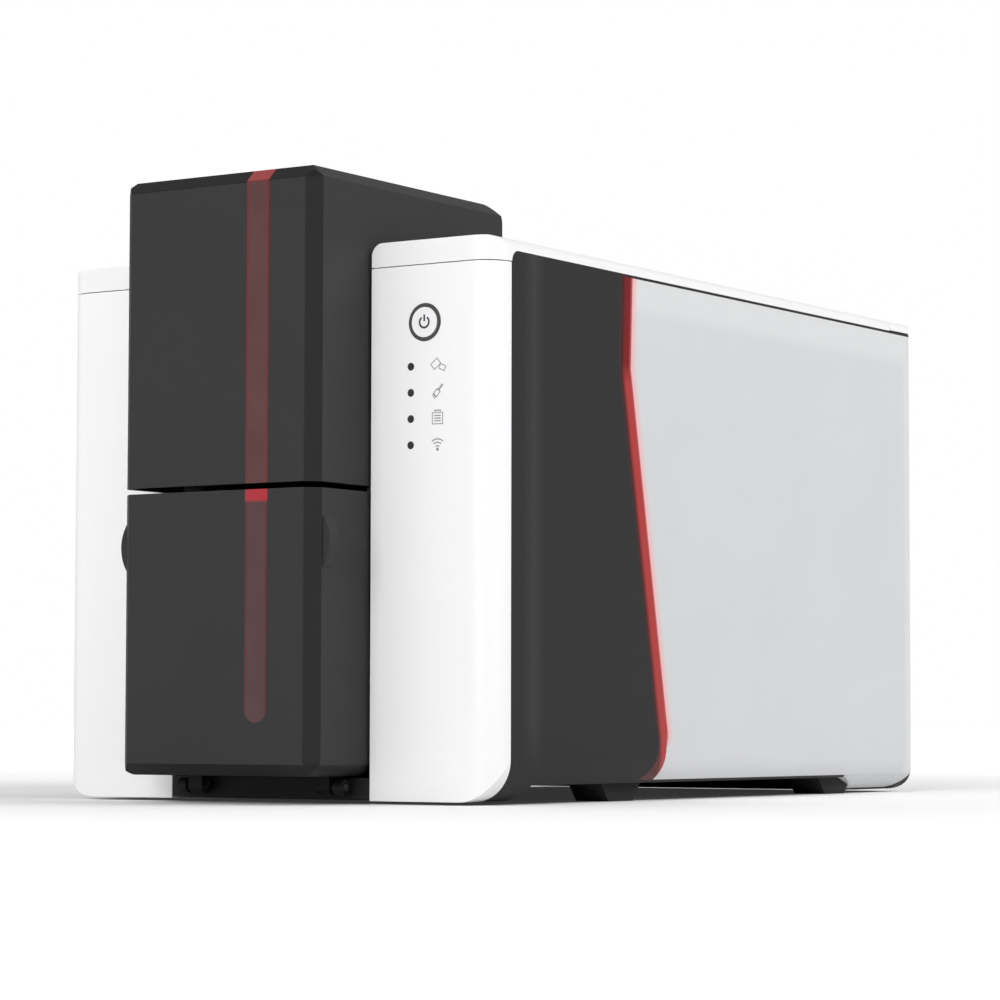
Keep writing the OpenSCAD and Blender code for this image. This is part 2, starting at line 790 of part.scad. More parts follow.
// Side view of a frame plate
module frame_view() difference() {
    union() {
        soft_rect(60, 330, frame_low, card_level - 4, 4, 4);
        soft_rect(112, 330, frame_low, frame_top, 4, 12);
        soft_rect(magazine_front + 26, 120, frame_low + 98, card_level - 3, 2, 2);
    }
    // cut-outs
    soft_rect(146, 180, 26, 92, 6, 6);
    soft_rect(244, 262, 26, 92, 6, 6);
    soft_rect(274, 311, 26, 92, 6, 6);
    for (y = [72, 104]) soft_rect(y, y + 26, 14, 100, 6, 6);
    // opening over the ribbon
    soft_rect(162, 268, spool_z - 22, frame_top + 20, 6, 4);
    for (y = shaft_places) translate([y, shaft_z]) circle(bush_radius);
    for (y = [front_roller_y, rear_roller_y]) translate([y, pinch_z]) circle(shaft_radius - 1 + 0.05);
    translate([cleaner_y, cleaner_z]) circle(shaft_radius - 1 + 0.05);
}

module frame_plate(side) color("lightsteelblue") place() scale_x(side) {
    difference() {
        along_x(frame_in, frame_out) frame_view();
        if (side > 0) rod(frame_in - 1, frame_out + 1, platen_y, motor_z, 11.2);
    }
    // shelves for the ribbon cassette
    for (y = [160, 255])
        block([cassette_in + 0.6, y, spool_z - 26], [frame_in + eps, y + 7, spool_z - 24.5]);
    // foot flange
    block([frame_in - 10, 190, frame_low], [frame_in + eps, 214, frame_low + 1.5]);
    block([frame_in - 10, 290, frame_low], [frame_in + eps, 314, frame_low + 1.5]);
}

module frame_left() frame_plate(-1);
module frame_right() frame_plate(1);

module frame_bars() color("silver") place() {
    for (p = [[143.5, 99], [266, 104], [322, 60], [322, 150]])
        rod(-frame_in, frame_in, p[0], p[1], 4);
}

module roller_bushes() color("white") place() both() for (y = shaft_places) difference() {
    rod(frame_in - 1, frame_out + 0.6, y, shaft_z, bush_radius);
    rod(frame_in - 2, frame_out + 2, y, shaft_z, shaft_radius + running_gap);
}

// ---------- feeder and hopper ----------

module card_magazine() color("#3a3a3a") place() {
    w = magazine_half + magazine_wall;
    difference() {
        block([-w, magazine_front - magazine_wall, card_level - 3],
            [w, magazine_rear + magazine_wall, magazine_top]);
        block([-magazine_half, magazine_front, card_level],
            [magazine_half, magazine_rear, magazine_top + 1]);
        // window for the feed roller
        block([-roller_half - 1.5, feed_y - roller_radius - 1.5, card_level - 5],
            [roller_half + 1.5, feed_y + roller_radius + 1.5, card_level + 1]);
        // exit slot for one card at a time
        block([-magazine_half, magazine_rear - 1, card_level - eps],
            [magazine_half, magazine_rear + 3, card_level + 1.4]);
        // thumb opening and sight slot in the front wall
        along_y(magazine_front - 5, magazine_front + 1)
            soft_rect(window_x - 5, window_x + 5, card_level + 4, magazine_top - 14, 3, 3);
        along_y(magazine_front - 5, magazine_front + 1)
            soft_rect(-16, 10, magazine_top - 26, magazine_top + 20, 8, 8);
        // notches for lifting the pusher
        both() block([magazine_half - 1, 52, card_level + 18], [w + 1, 72, magazine_top + 1]);
    }
    // arms that reach back to the cover's hinge
    both() difference() {
        union() {
            block([w - eps, magazine_rear - 28, card_level - 3],
                [w + 3, magazine_rear - 14, cover_hinge_z + 4]);
            block([w - eps, magazine_rear - 28, cover_hinge_z - 4],
                [w + 3, cover_hinge_y, cover_hinge_z + 4]);
            rod(w - eps, w + 3, cover_hinge_y, cover_hinge_z, 4);
        }
        rod(w - 1, w + 4, cover_hinge_y, cover_hinge_z, 2 + running_gap);
    }
    // side flanges that rest on the frames
    both() difference() {
        block([w - eps, 48, card_level - 3], [frame_out + 1, 108, card_level - 1]);
        rod(frame_in - 2, frame_out + 2, feed_y, shaft_z, bush_radius + bush_gap);
    }
}

module card_pusher() color("#2c2c2c") place() {
    w = magazine_half - 0.4;
    difference() {
        block([-w, magazine_front + 0.4, card_level + 2.2], [w, magazine_rear - 0.4, card_level + 6]);
        block([-w + 3, magazine_front + 4, card_level + 4], [w - 3, magazine_rear - 4, card_level + 7]);
    }
    // steel-filled block and its grip
    block([-20, 40, card_level + 4 - eps], [20, 90, card_level + 18]);
    both() block([w - 3, 54, card_level + 4], [w, 70, card_level + 17.9]);
}

module gauge_slide() color("mediumseagreen") place() {
    block([-8, magazine_rear + magazine_wall + 0.3, card_level + 1.6],
        [8, magazine_rear + magazine_wall + 2.3, card_level + 26]);
    block([-3, magazine_rear + magazine_wall + 2.2, card_level + 20],
        [3, magazine_rear + magazine_wall + 6.5, card_level + 24]);
}

module output_tray() color("#2e2e2e") place() {
    w = magazine_half + 4;
    floor_z = frame_low + 8;
    top_z = shaft_z - roller_radius - 3;
    difference() {
        block([-w - 2, front_y + 3, frame_low], [w + 2, 138, top_z]);
        // the pile's bay, open at the front
        along_x(-w, w)
            polygon([[front_y - 5, floor_z - 4], [132, floor_z + 4],
                     [132, top_z - 2], [front_y - 5, top_z - 2]]);
        // slot that the cards come in by
        block([-w, 130, top_z - 22], [w, 140, top_z - 8]);
        block([-w + 2, front_y + 6, -1], [w - 2, 134, floor_z - 7]);
    }
}

module card_deck() color("#3a3a3a") place() difference() {
    union() {
        block([-30, 111, deck_z - 2], [30, 330, deck_z]);
        both() block([29, 111, deck_z - 2], [31.5, 330, deck_z + 3]);
        both() for (y = [170, 262, 312]) block([30, y, deck_z - 2], [frame_in, y + 8, deck_z]);
    }
    for (y = [front_roller_y, platen_y, rear_roller_y])
        block([-roller_half - 1.5, y - roller_radius - 1, deck_z - 3],
            [roller_half + 1.5, y + roller_radius + 1, deck_z + 1]);
}

// ---------- driven rollers ----------

module rubber(y) color("#222222") place() difference() {
    rod(-roller_half, roller_half, y, shaft_z, roller_radius);
    rod(-roller_half - 1, roller_half + 1, y, shaft_z, shaft_radius + 1);
}

module roller_shaft(y, x1) color("silver") place() {
    rod(-frame_out - 3, x1, y, shaft_z, shaft_radius);
    rod(-roller_half - 1, roller_half + 1, y, shaft_z, shaft_radius + 1);
    // belt pulley with its two flanges
    rod(frame_out + 1.4, frame_out + 7.8, y, shaft_z, pulley_radius);
}

module feed_roller() color("#222222") place() difference() {
    both() rod(6, roller_half, feed_y, shaft_z, roller_radius);
    rod(-roller_half - 1, roller_half + 1, feed_y, shaft_z, shaft_radius + 1);
}
module feed_shaft() roller_shaft(feed_y, frame_out + 9);
module front_roller() rubber(front_roller_y);
module front_shaft() roller_shaft(front_roller_y, frame_out + 9);
module platen_roller() rubber(platen_y);
module platen_shaft() roller_shaft(platen_y, gear_x + gear_width + 1);
module rear_roller() rubber(rear_roller_y);
module rear_shaft() roller_shaft(rear_roller_y, frame_out + 9);

module pinch(y) color("#2a2a2a") place() {
    rod(-roller_half, roller_half, y, pinch_z, pinch_radius);
    rod(-frame_out - 1, frame_out + 1, y, pinch_z, shaft_radius - 1);
}
module front_pinch_roller() pinch(front_roller_y);
module rear_pinch_roller() pinch(rear_roller_y);

module cleaning_roller() color("#4f8fc0") place() {
    rod(-roller_half - 4, roller_half + 4, cleaner_y, cleaner_z, cleaner_radius);
    rod(-frame_out - 1, frame_out + 1, cleaner_y, cleaner_z, shaft_radius - 1);
}

module drive_belt() color("#1c1c1c") place() along_x(frame_out + 2.2, frame_out + 7) difference() {
    belt_view(pulley_radius + 0.3 + belt_thick);
    belt_view(pulley_radius + 0.3);
}

module belt_view(r) {
    translate([feed_y, shaft_z]) circle(r);
    translate([rear_roller_y, shaft_z]) circle(r);
    translate([feed_y, shaft_z - r]) square([rear_roller_y - feed_y, 2 * r]);
}

// Involute gears
pressure_angle = 25;
function roll(a) = tan(a) * 180 / PI - a;
function roll_at(r, base) = r <= base ? 0 : roll(acos(base / r));
// Half of a tooth's angle at radius r
function half_tooth(r, n, pitch, slack) =
    90 / n - slack + roll(pressure_angle) - roll_at(r, pitch * cos(pressure_angle));

module gear_view(n, m, slack, turn) {
    pitch = n * m / 2;
    root = pitch - 1.25 * m;
    tip = pitch + 0.9 * m;
    base = pitch * cos(pressure_angle);
    low = max(root, base);
    steps = [root, low + (tip - low) * 0.15, low + (tip - low) * 0.45, low + (tip - low) * 0.75, tip];
    polygon([for (i = [0:n - 1]) for (k = [0:2 * len(steps) - 1])
        let (up = k < len(steps),
             r = up ? steps[k] : steps[2 * len(steps) - 1 - k],
             h = half_tooth(r, n, pitch, slack),
             a = turn + i * 360 / n + (up ? -h : h))
        [r * cos(a), r * sin(a)]]);
}

module platen_gear() color("ivory") place() difference() {
    translate([gear_x, platen_y, shaft_z]) rotate([90, 0, 90]) linear_extrude(gear_width)
        gear_view(platen_teeth, gear_module, 0.25, -90 + 180 / platen_teeth);
    rod(gear_x - 1, gear_x + gear_width + 1, platen_y, shaft_z, shaft_radius);
    for (a = [0:60:300]) translate([0, platen_y, shaft_z]) rotate([a, 0, 0])
        rod(gear_x - 1, gear_x + gear_width + 1, 14, 0, 4.6);
}

module motor_pinion() color("goldenrod") place() {
    difference() {
        translate([gear_x - 0.5, platen_y, motor_z]) rotate([90, 0, 90]) linear_extrude(gear_width + 1)
            gear_view(pinion_teeth, gear_module, 0.8, 90);
        rod(gear_x - 2, gear_x + gear_width + 2, platen_y, motor_z, 2);
    }
    rod(frame_in - 2, gear_x + gear_width + 1.5, platen_y, motor_z, 2);
}

module drive_motor() color("#333333") place() difference() {
    union() {
        along_x(frame_in - motor_length, frame_in)
            cut_rect(platen_y - motor_size / 2, platen_y + motor_size / 2, motor_z - motor_size / 2,
                motor_z + motor_size / 2, 4, 4);
        rod(frame_in - eps, frame_out + 0.8, platen_y, motor_z, 11);
    }
    rod(frame_in - 4, frame_out + 2, platen_y, motor_z, 2.6);
}

// ---------- ribbon ----------

module spool(y, r) {
    rod(-spool_half, spool_half, y, spool_z, r);
    rod(-cassette_in + 0.4, cassette_in - 0.4, y, spool_z, core_radius);
    rod(-cassette_in - cassette_wall - 0.3, cassette_in + cassette_wall + 0.3, y, spool_z, 3.5);
}

module supply_spool() color("#b03a3a") place() spool(supply_y, supply_radius);

module take_up_spool() color("#3a3a80") place() {
    spool(take_up_y, take_up_radius);
    translate([spool_gear_x - spool_gear_width, take_up_y, spool_z]) rotate([90, 0, 90])
        linear_extrude(spool_gear_width + 0.1) gear_view(spool_teeth, 1.25, 0.5, -90);
    rod(spool_gear_x, spool_gear_x + 1, take_up_y, spool_z, 3.5);
}

module ribbon_pinion() color("goldenrod") place() {
    translate([spool_gear_x - spool_gear_width, take_up_y, ribbon_motor_z]) rotate([90, 0, 90])
        linear_extrude(spool_gear_width) gear_view(ribbon_pinion_teeth, 1.25, 0.8,
            90 + 180 / ribbon_pinion_teeth);
    rod(-frame_out - 4, spool_gear_x - 0.2, take_up_y, ribbon_motor_z, 1.5);
}

module ribbon_motor() color("#555555") place() difference() {
    rod(-frame_out - 26, -frame_out, take_up_y, ribbon_motor_z, 12);
    rod(-frame_out - 5, -frame_out + 1, take_up_y, ribbon_motor_z, 1.9);
}

guide_rods = [[193.5, 134], [228, 134]];

module ribbon_cassette() color("#6b6f75") place() {
    both() difference() {
        along_x(cassette_in, cassette_in + cassette_wall) union() {
            soft_rect(take_up_y - 15, supply_y + 20, spool_z - 24.5, spool_z - 14, 2, 2);
            translate([take_up_y, spool_z]) circle(12);
            translate([take_up_y - 9, spool_z - 24]) square([18, 24]);
            translate([supply_y, spool_z]) circle(14);
            translate([supply_y - 10, spool_z - 24]) square([20, 24]);
        }
        for (y = [take_up_y, supply_y])
            rod(cassette_in - 1, cassette_in + 4, y, spool_z, 3.5 + running_gap);
    }
    for (p = guide_rods) rod(-cassette_in - eps, cassette_in + eps, p[0], p[1], 2);
    block([-cassette_in - eps, supply_y + 14, spool_z - 24.5],
        [cassette_in + eps, supply_y + 20, spool_z - 22]);
}

// Point where the line from p to a circle touches it; side picks one of the two
function touch(c, r, p, side) =
    let (a = atan2(p[1] - c[1], p[0] - c[0]), b = acos(r / norm(p - c)))
    c + r * [cos(a + side * b), sin(a + side * b)];

// Direction from the centres of two circles to the line that runs along both on one side
function along_both(c1, r1, c2, r2, side) =
    let (a = atan2(c2[1] - c1[1], c2[0] - c1[0]), b = acos((r1 - r2) / norm(c2 - c1)))
    [cos(a + side * b), sin(a + side * b)];

// The film's way from a spool round its guide rod to the print head
function film_way(spool, r, bar, tip, side) =
    let (r_bar = 2 + film_thick / 2 + 0.05, u = along_both(spool, r, bar, r_bar, side))
    [spool + r * u, bar + r_bar * u, touch(bar, r_bar, tip, side), tip];

module ribbon_film() color("#202028") place() {
    left = film_way([take_up_y, spool_z], take_up_radius + 0.3, guide_rods[0], [platen_y - 4, film_z],
        -1);
    right = film_way([supply_y, spool_z], supply_radius + 0.3, guide_rods[1], [platen_y + 4, film_z], 1);
    path = concat(left, [for (i = [3:-1:0]) right[i]]);
    for (i = [0:len(path) - 2]) {
        d = path[i + 1] - path[i];
        n = [-d[1], d[0]] / norm(d) * film_thick / 2;
        along_x(-spool_half + 1, spool_half - 1)
            polygon([path[i] - n, path[i + 1] - n, path[i + 1] + n, path[i] + n]);
    }
}

// ---------- print head on the lid ----------

module head_bracket() color("lightsteelblue") place() {
    block([-30, platen_y - 9, 196], [30, platen_y + 9, casing_top - casing_wall]);
    block([-29, platen_y + 1.5, 142], [29, platen_y + 3.5, 197]);
}

module print_head() color("#c9c9c9") place() {
    // cooling block with fins, and the heater bar under it
    block([-28.5, platen_y - 4, 132], [28.5, platen_y + 1.5, 146]);
    along_x(-28.5, 28.5)
        polygon([[platen_y - 4, 132 + eps], [platen_y + 5, 132 + eps], [platen_y + 5, 129],
                 [platen_y + 1, film_z + 0.7], [platen_y - 1, film_z + 0.7], [platen_y - 4, 129]]);
    for (i = [0:3]) block([-27, platen_y - 8, 148 + i * 5], [27, platen_y + 1.5, 149.5 + i * 5]);
    block([-27, platen_y - 1, 145], [27, platen_y + 1.5, 165]);
}

// ---------- electronics ----------

module main_board() color("darkgreen") place() {
    difference() {
        block([-80, board_front, board_z], [80, board_back, board_top]);
        // cut-outs at the middle of its front edge and under the posts' screws
        block([-40, board_front - 1, board_z - 1], [-8, board_front + 6, board_top + 1]);
        for (x = [-76, 76], y = [board_front + 9, board_front + 37])
            translate([x, y, board_z - 1]) cylinder(h = 4, r = 1.6);
    }
    // processor, memory and the drivers' cooling block
    block([-66, board_front + 11, board_top - eps], [-46, board_front + 27, board_top + 2.4]);
    block([-40, board_front + 12, board_top - eps], [-28, board_front + 26, board_top + 1.4]);
    block([0, board_front + 9, board_top - eps], [22, board_front + 27, board_top + 1.4]);
    for (i = [0:5])
        block([i * 4, board_front + 9, board_top], [i * 4 + 1.6, board_front + 27, board_top + 7]);
    // plugs of the inner cables
    for (x = [-74, 30, 44]) difference() {
        block([x, board_front + 0.6, board_top - eps], [x + 11, board_front + 6.4, board_top + 6]);
        block([x + 1, board_front + 1.6, board_top + 1], [x + 10, board_front + 5.4, board_top + 7]);
    }
    // round capacitors
    for (x = [52, 63]) translate([x, board_front + 20, board_top - eps]) cylinder(h = 12, r = 4);
    for (x = [36, 42]) translate([x, board_front + 24, board_top - eps]) cylinder(h = 7, r = 2.5);
}

module fan_housing() color("#1d1d1d") place() difference() {
    along_y(back_y - casing_wall - 0.1 - fan_deep, back_y - casing_wall - 0.1)
        soft_rect(fan_x - fan_size / 2, fan_x + fan_size / 2, fan_z - fan_size / 2, fan_z + fan_size / 2,
            3, 3);
    difference() {
        peg(back_y - 20, back_y, fan_x, fan_z, fan_size / 2 - 1.5);
        peg(back_y - casing_wall - fan_deep - 0.1, back_y - casing_wall - fan_deep + 1.4, fan_x, fan_z,
            9);
        for (a = [0, 90])
            translate([fan_x, back_y - casing_wall - fan_deep + 0.7, fan_z])
                rotate([0, a + 45, 0]) cube([fan_size - 2, 1.5, 3], center = true);
    }
}

module fan_rotor() color("#262626") place() {
    y0 = back_y - casing_wall - fan_deep + 1.9;
    peg(y0, back_y - casing_wall - 1, fan_x, fan_z, 8.5);
    for (i = [0:6]) translate([fan_x, y0 + 3.2, fan_z]) rotate([0, i * 360 / 7, 0])
        translate([15.5, 0, 0]) rotate([35, 0, 0]) cube([15, 1.2, 9], center = true);
}

base_tray();
rubber_feet();
front_panel_left();
front_panel_right();
side_shell_left();
side_shell_right();
side_trim_left();
side_trim_right();
side_inlay_left();
side_inlay_right();
rear_panel();
rear_cap();
frame_left();
frame_right();
frame_bars();
roller_bushes();
card_magazine();
output_tray();
card_deck();
main_board();
rear_sockets();
drive_motor();
ribbon_motor();
drive_belt();
ribbon_cassette();
ribbon_film();
fan_housing();
status_lights();
light_ring();
catch_clips();
door_hinge_pin();
lid();
lid_hinge_pins();
head_bracket();
print_head();
feeder_cover();
feeder_window();
cover_hinge_pin();
hopper_door();
door_window();
card_pusher();
gauge_slide();
power_button();
feed_roller();
feed_shaft();
front_roller();
front_shaft();
platen_roller();
platen_shaft();
platen_gear();
rear_roller();
rear_shaft();
motor_pinion();
front_pinch_roller();
rear_pinch_roller();
cleaning_roller();
supply_spool();
take_up_spool();
ribbon_pinion();
fan_rotor();
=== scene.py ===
# %% [markdown]
# # A desktop ID card printer
#
# The printer stands on a white table: a dark card tower in front, white fronts beside it, a
# white top cover behind, and side shells with a red trim and a grey inlay. The shapes with real
# sizes arrive as a fixed frame, so this lesson is about finishes and small parts: how moulded
# plastic, steel and rubber get their look, and how screws, signs and lenses are modelled with
# bmesh operators.

# %% Load the frame
import math

import bmesh
import bpy
from mathutils import Matrix, Vector


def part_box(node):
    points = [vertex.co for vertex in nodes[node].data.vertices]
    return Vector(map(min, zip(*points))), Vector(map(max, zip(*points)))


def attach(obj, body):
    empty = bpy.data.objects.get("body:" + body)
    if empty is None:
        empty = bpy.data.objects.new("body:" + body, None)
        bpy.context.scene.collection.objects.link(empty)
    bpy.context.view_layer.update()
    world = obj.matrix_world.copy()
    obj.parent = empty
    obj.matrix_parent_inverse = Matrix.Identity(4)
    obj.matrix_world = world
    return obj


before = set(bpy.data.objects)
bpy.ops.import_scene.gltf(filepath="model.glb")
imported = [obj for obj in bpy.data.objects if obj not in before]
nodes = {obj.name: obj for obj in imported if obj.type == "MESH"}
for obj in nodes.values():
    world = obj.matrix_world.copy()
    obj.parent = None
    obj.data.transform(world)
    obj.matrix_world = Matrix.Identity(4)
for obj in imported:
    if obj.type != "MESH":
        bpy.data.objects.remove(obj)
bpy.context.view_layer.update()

scene = bpy.context.scene

# %% [markdown]
# ## Camera
#
# The photograph was taken from low down, well below the printer's middle, with a long lens. The
# camera could be turned by eye, but a place and three angles worked out from edges in the
# photograph bring the corners to within a pixel or two, and they are only a few numbers. A camera
# looks along its own -Z, so the three columns of its matrix are right, up and backwards.

# %% Camera
YAW, PITCH, ROLL = (math.radians(a) for a in (33.08, 3.72, 0.11))
CAMERA_PLACE = (0.7941, -1.21541, 0.03082)
LENS, FILM_WIDTH = 123.2, 36
forward = Vector((-math.sin(YAW) * math.cos(PITCH), math.cos(YAW) * math.cos(PITCH), math.sin(PITCH)))
level_right = Vector((math.cos(YAW), math.sin(YAW), 0))
level_up = level_right.cross(forward)
right = level_right * math.cos(ROLL) + level_up * math.sin(ROLL)
up = right.cross(forward)

camera_data = bpy.data.cameras.new("camera")
camera_data.lens, camera_data.sensor_width = LENS, FILM_WIDTH
camera_data.clip_start, camera_data.clip_end = 0.05, 40
camera = bpy.data.objects.new("camera", camera_data)
scene.collection.objects.link(camera)
camera.matrix_world = (Matrix.Translation(CAMERA_PLACE)
                       @ Matrix((right, up, -forward)).transposed().to_4x4())
scene.camera = camera
print("camera looks along", [round(c, 3) for c in forward])

# %% [markdown]
# ## A short way to write materials
#
# A material is a graph of nodes. Wiring it by hand hides the idea under dozens of link calls,
# so two small classes carry the work. `Wire` holds one output and knows +, -, * and >, each of
# which adds a Math node. `Finish` holds one material, and its method `node` makes any node from
# its settings and its inputs. Every pattern is placed by Object coordinates, which for a piece that
# sits at the origin are metres in the printer's own frame.

# %% Wires: sums on shader values
class Wire:
    """One value in a finish: an output of a node that can be used in a sum."""

    def __init__(self, finish, socket):
        self.finish, self.socket = finish, socket

    def sum(self, operation, *values):
        return self.finish.node("Math", dict(operation=operation), dict(enumerate(values)))

    def __add__(self, other): return self.sum("ADD", self, other)
    def __radd__(self, other): return self.sum("ADD", other, self)
    def __sub__(self, other): return self.sum("SUBTRACT", self, other)
    def __rsub__(self, other): return self.sum("SUBTRACT", other, self)
    def __mul__(self, other): return self.sum("MULTIPLY", self, other)
    def __rmul__(self, other): return self.sum("MULTIPLY", other, self)
    def __gt__(self, other): return self.sum("GREATER_THAN", self, other)


print("a wire knows + - * and >")

# %% Finishes: one material each
class Finish:
    """A material whose surface is one Principled shader."""

    def __init__(self, name, **constants):
        self.material = bpy.data.materials.new(name)
        self.material.use_nodes = True
        self.tree = self.material.node_tree
        self.shader = self.tree.nodes["Principled BSDF"]
        for socket, value in constants.items():
            self.shader.inputs[socket.replace("_", " ")].default_value = value

    def node(self, kind, settings=None, inputs=None, output=0):
        made = self.tree.nodes.new("ShaderNode" + kind)
        for name, value in (settings or {}).items():
            setattr(made, name, value)
        for name, value in (inputs or {}).items():
            self.join(value, made.inputs[name])
        return Wire(self, made.outputs[output])

    def join(self, value, socket):
        if isinstance(value, Wire):
            self.tree.links.new(value.socket, socket)
        else:
            socket.default_value = value

    def feed(self, **inputs):
        """Joins wires to the shader's own sockets."""
        for socket, value in inputs.items():
            self.join(value, self.shader.inputs[socket.replace("_", " ")])

    def place(self):
        return self.node("TexCoord", output="Object")

    def axis(self, letter):
        """One of the three coordinates, as a wire."""
        return self.node("SeparateXYZ", None, {"Vector": self.place()}, output=letter)

    def unsigned(self, value):
        """A value without its sign: one mask then serves the left and the right side."""
        return self.node("Math", dict(operation="ABSOLUTE"), {0: value})

    def grain(self, scale, detail=3.0, roughness=0.55, at=None):
        """Soft noise with so many waves to the metre."""
        return self.node("TexNoise", dict(noise_dimensions="3D"), {
            "Vector": at or self.place(), "Scale": scale, "Detail": detail, "Roughness": roughness})

    def ramp(self, value, low, high, to_low=0.0, to_high=1.0):
        """Carries a value from one range to another and holds it there."""
        return self.node("MapRange", dict(clamp=True), {
            "Value": value, "From Min": low, "From Max": high, "To Min": to_low, "To Max": to_high})

    def blend(self, factor, first, second):
        """A colour between two, by a factor from 0 to 1."""
        return self.node("Mix", dict(data_type="RGBA"), {0: factor, 6: first, 7: second}, output=2)

    def bump(self, height, depth):
        """Fine relief as deep as so many metres."""
        return self.node("Bump", None, {"Height": height, "Distance": depth})


def shade(*srgb):
    """A colour from its values of 0 to 255 as a screen shows them."""
    linear = [c / 255 / 12.92 if c <= 10 else ((c / 255 + 0.055) / 1.055) ** 2.4 for c in srgb]
    return (*linear, 1.0)


print("white of 231 is", round(shade(231, 231, 231)[0], 3), "as light")

# %% [markdown]
# ## Moulded plastic
#
# The dark tower, the white fronts and the grey inlay are all injection moulded. Their difference
# is in the mould's surface: the dark parts come from a mould etched with a fine grain, the
# white ones from a polished one. One function makes both: a grain for the bump, and a slow
# mottle that changes the roughness, as handling does. A single flat colour would look like
# paper, and a picture of plastic would repeat. A part that shows more than one shade gets
# further colours, each in its own mask.

# %% Moulded plastic
def moulded(name, colour, roughness, grain=1500.0, depth=0.00002, mottle=0.06, tint=0.06,
            painted=None, **constants):
    """Injection-moulded plastic; grain is in waves to the metre, depth in metres.

    painted(finish) gives further colours, each with the mask where it lies.
    """
    f = Finish(name, Roughness=roughness, **constants)
    slow = f.grain(22, 2.0)
    fine = f.grain(grain, 2.0, 0.6)
    darker = tuple(c * (1 - tint) for c in colour[:3]) + (1,)
    body = f.blend(f.ramp(slow, 0.35, 0.65), darker, colour)
    for paint, mask in (painted(f) if painted else ()):
        body = f.blend(mask, body, paint)
    f.feed(Base_Color=body,
           Roughness=roughness - mottle / 2 + mottle * f.ramp(slow + 0.1 * fine, 0.25, 0.85),
           Normal=f.bump(fine, depth))
    return f.material


print("every plastic has a grain, a mottle and a roughness that changes")

# %% [markdown]
# ## Painted light and shade that follow the shape
#
# The tower's bevels and its foot are painted darker, as painted shade. On the side, painted red light
# from the trim lies on the parts beside it, the shell's front edge carries a painted highlight, and
# the inlay's rounded rear and top are painted paler, as painted highlights. Such painted shades could
# be separate pieces, but they have no edge of their own, so they are masks: each is a product of soft
# steps on the place. The steps stand on sizes read from the frame, so that they move with the part.

# %% Soft steps
SOFT = 0.0002


def above(value, limit, soft=SOFT):
    """0 below a limit and 1 above it, with a step that is soft for so many metres."""
    return value.finish.ramp(value, limit - soft, limit + soft)


def below(value, limit, soft=SOFT):
    """1 below a limit and 0 above it."""
    return value.finish.ramp(value, limit - soft, limit + soft, 1.0, 0.0)


print("a plain step is", round(SOFT * 2000, 2), "mm wide")

# %% Places on the printer, in metres
cover_low, cover_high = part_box("feeder_cover")
TOWER_FRONT, TOWER_HALF, TOWER_TOP = cover_low[1], cover_high[0], cover_high[2]
TOWER_FOOT, BEVEL = 0.015, 0.0049
CASING_FRONT, CASING_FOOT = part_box("front_panel_right")[0][1:]
SIDE_OUT, CASING_BACK, SIDE_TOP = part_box("side_shell_right")[1]
EDGE_FRONT, EDGE_BACK = CASING_FRONT + 0.023, CASING_FRONT + 0.0305
SKIN, CORNER, RIM = 0.00225, 0.016, 0.0009
UNDER_REACH, UNDER_FRONT, UNDER_TOP = 0.0193, 0.1257, 0.0262
print("the tower stands", round((CASING_FRONT - TOWER_FRONT) * 1000, 1), "mm before the white fronts")

# %% The trim's front line
# three points of it, each with its height and its place along the printer
TRIM_LOW, TRIM_KINK, TRIM_TOP = (0.0240, -0.03915), (0.1700, -0.06835), (0.2084, -0.06685)


def behind_front_line(f):
    """How far a point lies behind the trim's leaning front line, which has a kink, in metres."""
    z = f.axis("Z")
    below_kink = f.ramp(z, TRIM_LOW[0], TRIM_KINK[0], TRIM_LOW[1], TRIM_KINK[1])
    over_kink = f.ramp(z, TRIM_KINK[0], TRIM_TOP[0], 0, TRIM_TOP[1] - TRIM_KINK[1])
    return f.axis("Y") - below_kink - over_kink


print("the trim leans by", round((TRIM_LOW[1] - TRIM_KINK[1]) * 1000, 1), "mm up to its kink")

# %% Masks of painted light and shade for the tower and the sides
INLAY_GREY = shade(213, 214, 216)


def tower_painted_shade(f):
    """Painted shade: the bevels round the tower's front, and its foot, are painted darker."""
    z = f.axis("Z")
    front = below(f.axis("Y"), TOWER_FRONT + BEVEL)
    corner = front * above(f.unsigned(f.axis("X")), TOWER_HALF - BEVEL)
    upper = front * above(z, TOWER_TOP - BEVEL)
    lower = below(z, TOWER_FOOT)
    # painted shade: darker colours on the corner bevels, the upper bevel and the foot
    return [(shade(30, 30, 31), corner), (shade(22, 20, 20), upper), (shade(20, 20, 20), lower)]


def shell_painted_light_and_grey(f):
    """A painted highlight on the front edge, painted red light from the trim, and grey down to the rim behind
    the rear foot.
    """
    out, y, z = f.unsigned(f.axis("X")), f.axis("Y"), f.axis("Z")
    skin = above(out, SIDE_OUT - SKIN, 0.00015)
    # painted highlight: a paler band along the shell's front edge
    edge = skin * above(y, EDGE_FRONT, 0.0038) * below(y, EDGE_BACK, 0.0038)
    behind = behind_front_line(f)
    # painted red light from the trim on the shell in front of it
    glow = skin * above(behind, -0.0014, 0.0004) * below(behind, 0.003, 0.0004)
    underside = above(out, SIDE_OUT - UNDER_REACH) * above(y, UNDER_FRONT) * below(z, UNDER_TOP)
    back, down = (f.node("Math", dict(operation="MAXIMUM"), {0: reach, 1: 0.0})
                  for reach in (y - (CASING_BACK - CORNER), CASING_FOOT + CORNER - z))
    rim = back * back + down * down > (CORNER - RIM) ** 2
    # painted highlight, painted red light, and the inlay's own grey on the lower rear
    return [(shade(50, 50, 51), edge * above(z, 0.021, 0.009)),
            (shade(62, 26, 28), glow * above(z, 0.0255, 0.0025)),
            (INLAY_GREY, underside * (1.0 - rim))]


